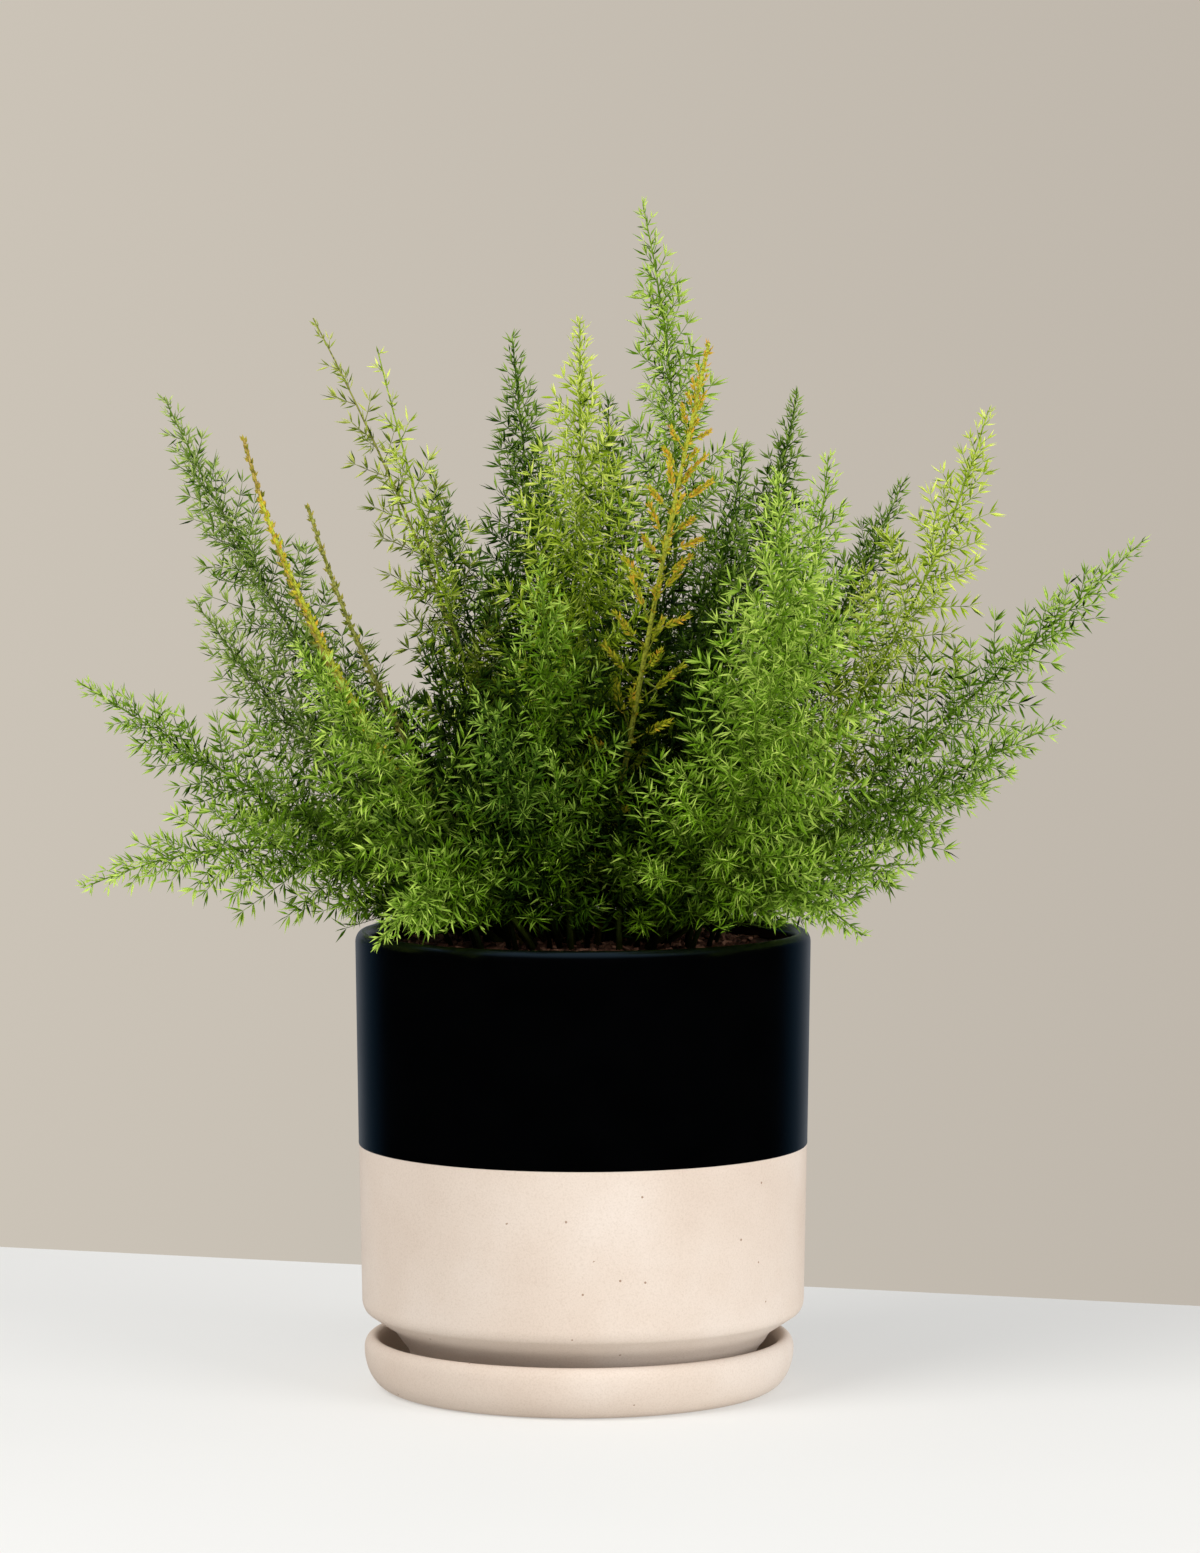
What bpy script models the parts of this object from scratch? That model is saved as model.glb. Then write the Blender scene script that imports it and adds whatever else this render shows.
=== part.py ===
"""Potted foxtail fern: a two-tone stoneware planter on its saucer, soil, and a bush of needle plumes.

Lengths are metres and +Z is up. The origin lies on the surface that the saucer stands on,
straight below the middle of the pot. -Y is the front.
"""

import math
import random

import bmesh
import bpy
import numpy as np
from mathutils import Vector

# Turned stoneware
REST_GAP = 0.0003
TURNED_SIDES = 36

SAUCER_SHIFT = -0.0018
SAUCER_RADIUS = 0.097
SAUCER_BASE_RADIUS = 0.085
SAUCER_SHOULDER = 0.018
SAUCER_HEIGHT = 0.0235
SAUCER_WALL = 0.0075
SAUCER_FLOOR = 0.006
SAUCER_FILLET = 0.004
SAUCER_LIP_START = 30

POT_FOOT_RADIUS = 0.077
POT_FOOT_TOP_RADIUS = 0.0857
POT_FOOT_HEIGHT = 0.0205
POT_FOOT_BEVEL = 0.001
POT_FOOT_FLARE = (0.0025, 0.009)
POT_BASE_RADIUS = 0.0998
POT_BASE_HEIGHT = 0.034
POT_CORNER = (0.004, 0.0065)
POT_CORNER_START = -70
POT_GLAZE_RADIUS = 0.101
POT_GLAZE_HEIGHT = 0.1106
POT_RADIUS = 0.1025
POT_HEIGHT = 0.2067
POT_WALL = 0.0075
POT_LIP_RISE = 0.005
POT_FLOOR = 0.0107
POT_RECESS = 0.002
POT_FOOT_RING = 0.006
DRAIN_RADIUS = 0.006

SOIL_BELOW_RIM = 0.0085
SOIL_MOUND = 0.003
SOIL_MOUND_SHOULDER = (0.55, 0.7)
SOIL_EDGE_GAP = 0.0009
SOIL_HOLE_DEPTH = 0.014
SOIL_HOLE_GAP = 0.0007

# Fern: the corner radius of a three-sided stem, side shoot and needle root
STEM_RADIUS = 0.0018
STEM_TIP_RADIUS = 0.0008
SPRIG_RADIUS = 0.0009
WHORL_LENGTH = 0.0014
NEEDLE_RADIUS = 0.0008
CLEARANCE = 0.0004
NEIGHBOUR_REACH = 0.09
WALL_CLEARANCE = 0.002
TOP_CLEARANCE = 0.001
STEM_BANDS = 3
STEM_SAG = 0.012
TIP_NEEDLE = 0.004
LOWEST_SPRIG = 0.33
HIGHEST_SPRIG = 0.94
SPRIG_TAPER = 0.55
SPRIG_BEND = 0.1
SPRIG_NARROWS = 0.25
LAST_STRETCH = 0.75
LONG_SPRIG = 0.032
LONG_NEEDLE = 0.006
SPRIG_SPREAD = (0.9, 1.08)
WIDEST_SHARE = 0.25
SPRIG_TRIES = 14
GOLDEN_ANGLE = math.radians(137.5)
THIRD_TURN = math.tau / 3
SEED = 12

# What grows on each kind of shoot: the spacing of its side shoots and their angle to the stem,
# the whorls at its tip and their spacing, and its needles' length and slant
HABITS = {
    "plume": {
        "pitch": 0.027, "sprig_angle": 54, "tip_whorls": 2, "whorl_gap": 0.011, "needle": 0.0095, "slant": 50,
    },
    "gold": {
        "pitch": 0.023, "sprig_angle": 48, "tip_whorls": 3, "whorl_gap": 0.010, "needle": 0.005, "slant": 38,
    },
    "spear": {
        "pitch": None, "sprig_angle": None, "tip_whorls": 5, "whorl_gap": 0.012, "needle": 0.004, "slant": 22,
    },
}

# Each shoot: name, kind, tint, compass lean in degrees (0 right, 90 back, -90 front), then in
# metres the tip's reach and height, the bow of its stem, where it leaves the soil, side shoot length
SHOOTS = [
    ("plume_tallest", "plume", "fresh", 52, 0.044, 0.533, 0.040, 0.012, 0.039),
    ("plume_left_tall", "plume", "grey", 167, 0.196, 0.446, 0.012, 0.024, 0.037),
    ("plume_left_sparse", "plume", "olive", 157, 0.134, 0.482, -0.010, 0.017, 0.034),
    ("plume_left_slim", "plume", "lime", 174, 0.093, 0.468, 0.004, 0.010, 0.028),
    ("plume_left_middle", "plume", "grey", 172, 0.178, 0.354, 0.007, 0.031, 0.041),
    ("plume_left_long", "plume", "green", -175, 0.225, 0.319, 0.000, 0.036, 0.041),
    ("plume_left_low", "plume", "fresh", -167, 0.226, 0.230, -0.030, 0.036, 0.041),
    ("plume_left_front", "plume", "fresh", -142, 0.156, 0.340, 0.005, 0.026, 0.048),
    ("plume_left_back", "plume", "dark", 126, 0.122, 0.412, 0.000, 0.022, 0.041),
    ("plume_centre_dark", "plume", "dark", 150, 0.037, 0.473, 0.000, 0.004, 0.034),
    ("plume_centre_light", "plume", "lime", -92, 0.036, 0.479, 0.000, 0.008, 0.041),
    ("plume_centre_back", "plume", "dark", 80, 0.066, 0.445, 0.020, 0.014, 0.039),
    ("plume_front_centre", "plume", "green", -104, 0.078, 0.375, 0.000, 0.018, 0.046),
    ("plume_front_left", "plume", "dark", -111, 0.123, 0.319, -0.003, 0.028, 0.046),
    ("plume_front_middle", "plume", "green", -99, 0.084, 0.292, -0.006, 0.034, 0.038),
    ("plume_front_right", "plume", "fresh", -50, 0.130, 0.414, 0.044, 0.027, 0.051),
    ("plume_front_low_left", "plume", "green", -127, 0.145, 0.212, -0.026, 0.036, 0.039),
    ("plume_front_low_middle", "plume", "green", -66, 0.082, 0.238, -0.020, 0.040, 0.032),
    ("plume_front_low_right", "plume", "green", -41, 0.160, 0.214, -0.026, 0.038, 0.041),
    ("plume_right_small_dark", "plume", "dark", 30, 0.085, 0.424, 0.008, 0.013, 0.030),
    ("plume_right_back_dark", "plume", "dark", 42, 0.133, 0.447, 0.012, 0.022, 0.030),
    ("plume_right_steep", "plume", "fresh", -16, 0.113, 0.420, 0.022, 0.014, 0.041),
    ("plume_right_dark", "plume", "dark", 21, 0.157, 0.407, 0.008, 0.022, 0.037),
    ("plume_right_bright", "plume", "lime", 2, 0.182, 0.440, 0.024, 0.021, 0.041),
    ("plume_right_long", "plume", "green", -3, 0.250, 0.382, 0.006, 0.030, 0.041),
    ("plume_right_low", "plume", "green", -12, 0.216, 0.303, -0.004, 0.036, 0.044),
    ("plume_right_low_back", "plume", "green", 10, 0.200, 0.275, -0.007, 0.037, 0.041),
    ("plume_right_hanging", "plume", "green", -30, 0.168, 0.243, -0.010, 0.033, 0.044),
    ("plume_back_inner", "plume", "dark", 104, 0.088, 0.428, 0.006, 0.012, 0.039),
    ("plume_back_left", "plume", "green", 142, 0.170, 0.345, 0.006, 0.029, 0.044),
    ("plume_back_low_left", "plume", "fresh", 153, 0.178, 0.255, -0.010, 0.037, 0.041),
    ("plume_back", "plume", "green", 108, 0.150, 0.365, 0.008, 0.027, 0.046),
    ("plume_back_low", "plume", "fresh", 92, 0.168, 0.262, -0.010, 0.036, 0.044),
    ("plume_back_right", "plume", "green", 66, 0.158, 0.350, 0.008, 0.027, 0.046),
    ("plume_back_low_right", "plume", "green", 44, 0.176, 0.250, -0.010, 0.037, 0.041),
    ("plume_back_low_middle", "plume", "green", 122, 0.156, 0.226, -0.020, 0.038, 0.039),
    ("shoot_gold", "gold", "gold", -62, 0.116, 0.469, -0.005, 0.013, 0.021),
    ("spear_tall", "spear", "rust", 179, 0.152, 0.427, 0.018, 0.022, 0.0),
    ("spear_middle", "spear", "gold", -170, 0.145, 0.400, 0.010, 0.028, 0.0),
    ("spear_short", "spear", "moss", -176, 0.123, 0.397, 0.012, 0.016, 0.0),
]

TINTS = {
    "fresh": (0.150, 0.300, 0.048),
    "green": (0.095, 0.220, 0.035),
    "grey": (0.110, 0.215, 0.065),
    "dark": (0.035, 0.110, 0.022),
    "lime": (0.330, 0.450, 0.075),
    "olive": (0.215, 0.300, 0.070),
    "gold": (0.480, 0.400, 0.060),
    "rust": (0.400, 0.270, 0.080),
    "moss": (0.240, 0.260, 0.070),
}


def clear_scene():
    """Remove every object of the open scene."""
    for thing in list(bpy.data.objects):
        bpy.data.objects.remove(thing, do_unlink=True)


def material(name, colour, roughness):
    """A plain, non-metallic Principled finish."""
    finish = bpy.data.materials.new(name)
    finish.use_nodes = True
    shader = finish.node_tree.nodes["Principled BSDF"]
    shader.inputs["Base Color"].default_value = (*colour, 1.0)
    shader.inputs["Roughness"].default_value = roughness
    shader.inputs["Metallic"].default_value = 0.0
    return finish


def link_object(name, bm, *finishes):
    """Store a bmesh as a named object with its finishes."""
    mesh = bpy.data.meshes.new(name)
    bm.to_mesh(mesh)
    bm.free()
    for finish in finishes:
        mesh.materials.append(finish)
    thing = bpy.data.objects.new(name, mesh)
    bpy.context.scene.collection.objects.link(thing)
    return thing


def arc(centre, radii, start, end, steps):
    """Points of (radius, height) along an arc, its angles in degrees."""
    points = []
    for step in range(steps + 1):
        angle = math.radians(start + (end - start) * step / steps)
        points.append((centre[0] + radii[0] * math.cos(angle), centre[1] + radii[1] * math.sin(angle)))
    return points


def turned(outline, closed):
    """Spin (radius, height) points round Z into one closed solid."""
    bm = bmesh.new()
    verts = [bm.verts.new((radius, 0.0, height)) for radius, height in outline]
    edges = [bm.edges.new(pair) for pair in zip(verts, verts[1:])]
    if closed:
        edges.append(bm.edges.new((verts[-1], verts[0])))
    bmesh.ops.spin(
        bm,
        geom=verts + edges,
        cent=(0, 0, 0),
        axis=(0, 0, 1),
        angle=math.tau,
        steps=TURNED_SIDES,
        use_merge=True,
    )
    bmesh.ops.remove_doubles(bm, verts=bm.verts, dist=1e-6)
    bmesh.ops.recalc_face_normals(bm, faces=bm.faces)
    return bm


def shade_turned(thing):
    """Smooth shading that keeps the creases of a turned piece."""
    thing.data.shade_smooth()
    thing.data.set_sharp_from_angle(angle=math.radians(35))


def make_saucer(bisque):
    """A shallow dish: flat base, rounded outer corner, rolled lip and flat floor."""
    inner = SAUCER_RADIUS - SAUCER_WALL
    lip = SAUCER_WALL / 2
    corner = (SAUCER_RADIUS - SAUCER_BASE_RADIUS, SAUCER_SHOULDER)
    outline = [(0.0, 0.0)]
    outline += arc((SAUCER_BASE_RADIUS, SAUCER_SHOULDER), corner, -90, 0, 4)
    rolled = (lip, SAUCER_HEIGHT - SAUCER_SHOULDER)
    outline += arc((SAUCER_RADIUS - lip, SAUCER_SHOULDER), rolled, SAUCER_LIP_START, 180, 4)
    fillet = (inner - SAUCER_FILLET, SAUCER_FLOOR + SAUCER_FILLET)
    outline += arc(fillet, (SAUCER_FILLET, SAUCER_FILLET), 0, -90, 2)
    outline.append((0.0, SAUCER_FLOOR))
    saucer = link_object("saucer", turned(outline, closed=False), bisque)
    saucer.location.x = SAUCER_SHIFT
    shade_turned(saucer)
    return saucer


def pot_inside(gap):
    """The pot's inner wall and floor, top to bottom, drawn in by a gap."""
    wall = POT_WALL + gap
    rim_height = POT_HEIGHT - POT_LIP_RISE
    foot_top = SAUCER_FLOOR + REST_GAP + POT_FOOT_HEIGHT
    floor = SAUCER_FLOOR + REST_GAP + POT_FLOOR + gap
    points = [(POT_RADIUS - wall, rim_height), (POT_BASE_RADIUS - wall, foot_top + POT_BASE_HEIGHT / 2)]
    points += [(POT_FOOT_TOP_RADIUS - wall, foot_top + POT_WALL), (POT_FOOT_RADIUS - wall, floor)]
    return points


def make_pot(bisque, glaze):
    """A straight planter on a narrower foot, glazed from the waist up and over the lip."""
    foot = SAUCER_FLOOR + REST_GAP
    foot_top = foot + POT_FOOT_HEIGHT
    corner = (POT_BASE_RADIUS - POT_CORNER[0], POT_BASE_HEIGHT + POT_CORNER[1])
    lip = POT_WALL / 2
    outline = [(POT_FOOT_RADIUS - POT_FOOT_BEVEL, foot), (POT_FOOT_RADIUS, foot + POT_FOOT_BEVEL)]
    outline.append((POT_FOOT_RADIUS + POT_FOOT_FLARE[0], foot + POT_FOOT_FLARE[1]))
    outline.append((POT_FOOT_TOP_RADIUS, foot_top))
    outline += arc(corner, POT_CORNER, POT_CORNER_START, 0, 3)
    outline.append((POT_GLAZE_RADIUS, POT_GLAZE_HEIGHT))
    outline += arc((POT_RADIUS - lip, POT_HEIGHT - POT_LIP_RISE), (lip, POT_LIP_RISE), 0, 180, 5)
    outline += pot_inside(0.0)[1:]
    outline += [(DRAIN_RADIUS, foot + POT_FLOOR), (DRAIN_RADIUS, foot + POT_RECESS)]
    recess = POT_FOOT_RADIUS - POT_FOOT_RING
    outline += [(recess - POT_RECESS, foot + POT_RECESS), (recess, foot)]
    bm = turned(outline, closed=True)
    for face in bm.faces:
        middle = face.calc_center_median()
        inside = math.hypot(middle.x, middle.y) < POT_BASE_RADIUS - POT_WALL and middle.z > foot + POT_FLOOR
        face.material_index = int(inside or middle.z > POT_GLAZE_HEIGHT)
    pot = link_object("pot", bm, bisque, glaze)
    shade_turned(pot)
    return pot


def soil_top():
    """Height of the soil where it meets the pot's wall."""
    return POT_HEIGHT - SOIL_BELOW_RIM


def make_soil(earth, holes):
    """Potting mix that fills the pot, slightly mounded, with a plain hole for each stem."""
    top = soil_top()
    sides = pot_inside(REST_GAP)[1:]
    rim = POT_RADIUS - POT_WALL - SOIL_EDGE_GAP
    shoulder = (rim * SOIL_MOUND_SHOULDER[0], top + SOIL_MOUND * SOIL_MOUND_SHOULDER[1])
    outline = [(0.0, top + SOIL_MOUND), shoulder, (rim, top)]
    outline += sides
    outline.append((0.0, sides[-1][1]))
    soil = link_object("soil", turned(outline, closed=False), earth)
    cutters = bpy.data.collections.new("stem_holes")
    bpy.context.scene.collection.children.link(cutters)
    for index, (spot, turn) in enumerate(holes):
        bm = bmesh.new()
        low = [bm.verts.new(corner) for corner in hole_corners(spot, turn, -SOIL_HOLE_DEPTH - REST_GAP)]
        high = [bm.verts.new(corner) for corner in hole_corners(spot, turn, SOIL_MOUND * 3)]
        bm.faces.new(low[::-1])
        bm.faces.new(high)
        for k in range(3):
            bm.faces.new((low[k], low[k - 2], high[k - 2], high[k]))
        cutter = link_object(f"hole_{index}", bm)
        bpy.context.scene.collection.objects.unlink(cutter)
        cutters.objects.link(cutter)
    apply_boolean(soil, "DIFFERENCE", cutters)
    return soil


def hole_corners(spot, turn, rise):
    """Three corners of a stem's hole, a gap outside the stem's own corners."""
    radius = STEM_RADIUS + SOIL_HOLE_GAP
    angles = [turn + k * THIRD_TURN for k in range(3)]
    return [(spot.x + radius * math.cos(a), spot.y + radius * math.sin(a), spot.z + rise) for a in angles]


def apply_boolean(thing, operation, others):
    """Join or cut a solid with a whole collection, apply it, and remove the collection."""
    boolean = thing.modifiers.new(operation.lower(), "BOOLEAN")
    boolean.operation = operation
    boolean.operand_type = "COLLECTION"
    boolean.collection = others
    boolean.solver = "MANIFOLD"
    with bpy.context.temp_override(object=thing, active_object=thing, selected_objects=[thing]):
        bpy.ops.object.modifier_apply(modifier=boolean.name)
    for other in list(others.objects):
        bpy.data.objects.remove(other, do_unlink=True)
    bpy.data.collections.remove(others)


def unit_at(angle):
    """Level direction at a compass lean in radians."""
    return Vector((math.cos(angle), math.sin(angle), 0.0))


class Shoot:
    """One fern shoot: its stem's curve, and the solids that make it up."""

    def __init__(self, name, habit, tint, lean, reach, height, bow, base, sprig):
        self.name = name
        self.habit = HABITS[habit]
        self.tint = tint
        self.lean = math.radians(lean)
        self.sprig = sprig
        out = unit_at(self.lean)
        mound = SOIL_MOUND * (1 - base / POT_RADIUS)
        self.foot = out * base + Vector((0, 0, soil_top() + mound))
        self.tip = out * reach + Vector((0, 0, height))
        chord = (self.tip - self.foot).normalized()
        belly = (out - out.dot(chord) * chord).normalized()
        self.bend = (self.foot + self.tip) / 2 + belly * (2 * bow)
        self.across = Vector((-out.y, out.x, 0.0))
        self.bands = STEM_BANDS + math.ceil(abs(bow) / STEM_SAG)
        leafy = self.habit["tip_whorls"] * self.habit["whorl_gap"] + TIP_NEEDLE
        self.leafy_start = 1 - leafy / self.length()
        self.spikes = []

    def at(self, t):
        """Point and direction on the stem, from the soil at 0 to the tip at 1."""
        point = (1 - t) ** 2 * self.foot + 2 * t * (1 - t) * self.bend + t**2 * self.tip
        along = (1 - t) * (self.bend - self.foot) + t * (self.tip - self.bend)
        return point, along.normalized()

    def on_stem(self, t):
        """Point on the straight stretch of the modelled stem that holds this share of the curve."""
        stretch = t / self.leafy_start * self.bands
        first = min(int(stretch), self.bands - 1)
        knots = [self.at((first + k) / self.bands * self.leafy_start)[0] for k in (0, 1)]
        return knots[0].lerp(knots[1], stretch - first)

    def length(self):
        """Length of the stem's curve."""
        points = [self.at(step / 16)[0] for step in range(17)]
        return sum((b - a).length for a, b in zip(points, points[1:]))


def rings_of(spine, across):
    """Three corners at each station of a spine; a whorl turns what follows by a sixth."""
    rings = []
    turn = 0.0
    for centre, along, radius, kind in spine:
        over = along.cross(across).normalized()
        side = over.cross(along)
        spots = [turn + k * THIRD_TURN for k in range(3)]
        rings.append([centre + radius * (math.cos(a) * side + math.sin(a) * over) for a in spots])
        if kind == "whorl":
            turn += THIRD_TURN / 2
    return rings


def whorl_faces(low, high):
    """The six triangles between a ring and the next one, turned by a sixth."""
    faces = []
    for k in range(3):
        faces.append((low[k], low[(k + 1) % 3], high[k]))
        faces.append((low[(k + 1) % 3], high[(k + 1) % 3], high[k]))
    return faces


def spike(spine, across, habit):
    """A three-sided shoot: rings, needle tips over each whorl, end point, and its centre lines."""
    rings = rings_of(spine, across)
    slant = math.radians(habit["slant"])
    needles = {}
    lines = []
    for index, (centre, along, radius, kind) in enumerate(spine[:-1]):
        lines.append((centre, spine[index + 1][0], radius))
        if kind != "whorl":
            continue
        for side, corners in enumerate(whorl_faces(rings[index], rings[index + 1])):
            root = sum(corners, Vector()) / 3
            off_axis = root - centre
            outward = (off_axis - off_axis.dot(along) * along).normalized()
            heading = math.cos(slant) * along + math.sin(slant) * outward
            needles[index, side] = root + habit["needle"] * heading
            lines.append((root, needles[index, side], NEEDLE_RADIUS))
    return {"rings": rings, "kinds": [station[3] for station in spine], "needles": needles, "lines": lines}


def spine_with_whorls(start, along, length, whorls, rise):
    """Stations of a side shoot that bends by a rise towards its parent's tip."""
    stations = [(start, along, SPRIG_RADIUS, "plain")]
    for whorl in range(whorls):
        share = (whorl + 1) / (whorls + LAST_STRETCH)
        here = start + along * (length * share) + rise * share**2
        width = SPRIG_RADIUS * (1 - SPRIG_NARROWS * share)
        stations.append((here, along, width, "whorl"))
        stations.append((here + along * WHORL_LENGTH, along, width, "plain"))
    end = start + along * length + rise
    stations.append((end, along, 0.0, "tip"))
    return stations


def stem_spine(shoot):
    """Stations of a main stem: a peg in the soil, the bare stem, and whorls up to the tip."""
    habit = shoot.habit
    length = shoot.length()
    upright = Vector((0, 0, 1))
    stations = [(shoot.foot - upright * SOIL_HOLE_DEPTH, upright, STEM_RADIUS, "plain")]
    stations.append((shoot.foot + upright * SOIL_MOUND, upright, STEM_RADIUS, "plain"))
    for band in range(1, shoot.bands + 1):
        t = shoot.leafy_start * band / shoot.bands
        radius = STEM_RADIUS + (STEM_TIP_RADIUS - STEM_RADIUS) * t
        kind = "whorl" if band == shoot.bands else "plain"
        stations.append((*shoot.at(t), radius, kind))
    for whorl in range(habit["tip_whorls"]):
        t = shoot.leafy_start + whorl * habit["whorl_gap"] / length
        step = WHORL_LENGTH / length
        radius = STEM_TIP_RADIUS
        if whorl:
            stations.append((*shoot.at(t), radius, "whorl"))
        stations.append((*shoot.at(t + step), radius, "plain"))
    stations.append((shoot.tip, shoot.at(1)[1], 0.0, "tip"))
    return stations


def line_gaps(ours, others):
    """Least distance between the surfaces of each of our lines and each of the others."""
    start, end, radius = ours
    start2, end2, radius2 = others
    u = (end - start)[:, None]
    v = (end2 - start2)[None]
    w = start[:, None] - start2[None]
    uu = (u * u).sum(-1)
    vv = (v * v).sum(-1)
    uv = (u * v).sum(-1)
    uw = (u * w).sum(-1)
    vw = (v * w).sum(-1)
    s = np.clip((uv * vw - vv * uw) / np.maximum(uu * vv - uv * uv, 1e-16), 0, 1)
    t = np.clip((uv * s + vw) / vv, 0, 1)
    s = np.clip((uv * t - uw) / uu, 0, 1)
    apart = w + s[..., None] * u - t[..., None] * v
    return np.sqrt((apart * apart).sum(-1)) - radius[:, None] - radius2[None]


def as_arrays(lines):
    """Centre lines as arrays of starts, ends and radii."""
    starts = np.array([tuple(line[0]) for line in lines])
    ends = np.array([tuple(line[1]) for line in lines])
    return starts, ends, np.array([line[2] for line in lines])


class Thicket:
    """Every centre line placed so far, with the shoot that it belongs to."""

    def __init__(self):
        self.lines = []
        self.owners = []

    def add(self, owner, lines):
        """Keep the lines of one more spike."""
        self.lines += lines
        self.owners += [owner] * len(lines)

    def crossed(self, owner, lines):
        """For each line, whether it comes too close to another shoot, the pot or the soil."""
        foreign = [line for line, other in zip(self.lines, self.owners) if other != owner]
        ours = as_arrays(lines)
        bad = near_pot(*ours)
        middle = (ours[0][0] + ours[1][0]) / 2
        if foreign:
            others = as_arrays(foreign)
            near = np.linalg.norm((others[0] + others[1]) / 2 - middle, axis=1) < NEIGHBOUR_REACH
            if near.any():
                bad |= (line_gaps(ours, tuple(part[near] for part in others)) < CLEARANCE).any(axis=1)
        return bad


def near_pot(starts, ends, radii):
    """Whether a line dips into the pot's wall or the soil."""
    bad = np.zeros(len(starts), bool)
    for share in (0.0, 0.25, 0.5, 0.75, 1.0):
        points = starts + (ends - starts) * share
        out = np.hypot(points[:, 0], points[:, 1])
        low = points[:, 2] - radii
        by_wall = abs(out - POT_RADIUS + POT_WALL / 2) < POT_WALL / 2 + WALL_CLEARANCE
        in_wall = by_wall & (low < POT_HEIGHT + TOP_CLEARANCE)
        in_soil = (out <= POT_RADIUS - POT_WALL) & (low < soil_top() + SOIL_MOUND + TOP_CLEARANCE)
        bad |= in_wall | in_soil
    return bad


def keep_clear(thicket, owner, grown):
    """Leave out the needles of a spike that would touch another node."""
    hits = thicket.crossed(owner, grown["lines"])
    touching = {tuple(line[1]) for line, hit in zip(grown["lines"], hits) if hit}
    needles = {key: tip for key, tip in grown["needles"].items() if tuple(tip) not in touching}
    lines = [line for line in grown["lines"] if line[2] != NEEDLE_RADIUS or tuple(line[1]) not in touching]
    return {**grown, "needles": needles, "lines": lines}


def grow_sprigs(shoot, thicket, rng):
    """Side shoots wound round the stem, each turned until it is clear of the other nodes."""
    habit = shoot.habit
    turn = rng.uniform(0, math.tau)
    if not habit["pitch"]:
        return
    stretch = shoot.leafy_start * (HIGHEST_SPRIG - LOWEST_SPRIG)
    count = round(stretch * shoot.length() / habit["pitch"]) + 1
    for index in range(count):
        share = index / (count - 1)
        t = shoot.leafy_start * LOWEST_SPRIG + stretch * share
        along = shoot.at(t)[1]
        start = shoot.on_stem(t)
        taper = 1.0 - SPRIG_TAPER * max(0.0, share - WIDEST_SHARE) / (1 - WIDEST_SHARE)
        turn += GOLDEN_ANGLE
        best = None
        for attempt in range(SPRIG_TRIES):
            angle = turn + attempt * math.tau / SPRIG_TRIES
            length = shoot.sprig * taper * rng.uniform(*SPRIG_SPREAD)
            grown = grow_sprig(shoot, start, along, angle, length)
            hits = thicket.crossed(shoot.name, grown["lines"])
            axis_hits = sum(hit for hit, line in zip(hits, grown["lines"]) if line[2] != NEEDLE_RADIUS)
            score = (axis_hits, int(hits.sum()))
            if best is None or score < best[0]:
                best = (score, grown)
            if score == (0, 0):
                break
        if best[0][0] == 0:
            grown = keep_clear(thicket, shoot.name, best[1])
            shoot.spikes.append(grown)
            thicket.add(shoot.name, grown["lines"])


def grow_sprig(shoot, start, along, angle, length):
    """One side shoot at an angle round the stem."""
    over = along.cross(shoot.across).normalized()
    outward = math.cos(angle) * shoot.across + math.sin(angle) * over
    lean = math.radians(shoot.habit["sprig_angle"])
    heading = math.cos(lean) * along + math.sin(lean) * outward
    whorls = 2 if length > LONG_SPRIG and shoot.habit["needle"] > LONG_NEEDLE else 1
    spine = spine_with_whorls(start, heading, length, whorls, along * (SPRIG_BEND * length))
    return spike(spine, heading.cross(along).normalized(), shoot.habit)


def spike_solid(grown):
    """The closed three-sided solid of a spike, with its needles raised from its whorls."""
    bm = bmesh.new()
    rings = [[bm.verts.new(corner) for corner in ring] for ring in grown["rings"][:-1]]
    end = bm.verts.new(grown["rings"][-1][0])
    bm.faces.new(rings[0][::-1])
    for index, (low, high) in enumerate(zip(rings, rings[1:])):
        if grown["kinds"][index] != "whorl":
            for k in range(3):
                bm.faces.new((low[k], low[k - 2], high[k - 2], high[k]))
            continue
        for side, corners in enumerate(whorl_faces(low, high)):
            tip = grown["needles"].get((index, side))
            if tip is None:
                bm.faces.new(corners)
                continue
            point = bm.verts.new(tip)
            for k in range(3):
                bm.faces.new((corners[k], corners[k - 2], point))
    for k in range(3):
        bm.faces.new((rings[-1][k], rings[-1][k - 2], end))
    return bm


def make_shoot(shoot, finish):
    """Join a stem and its side shoots in one solid."""
    stem = link_object(shoot.name, spike_solid(shoot.spikes[0]), finish)
    if len(shoot.spikes) > 1:
        sprigs = bpy.data.collections.new(shoot.name + "_sprigs")
        bpy.context.scene.collection.children.link(sprigs)
        for index, grown in enumerate(shoot.spikes[1:]):
            sprig = link_object(f"sprig_{index}", spike_solid(grown), finish)
            bpy.context.scene.collection.objects.unlink(sprig)
            sprigs.objects.link(sprig)
        apply_boolean(stem, "UNION", sprigs)
    return stem


def stem_turn(shoot):
    """Compass angle of the first corner of a stem's peg."""
    corner = shoot.spikes[0]["rings"][0][0] - shoot.foot
    return math.atan2(corner.y, corner.x)


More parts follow.
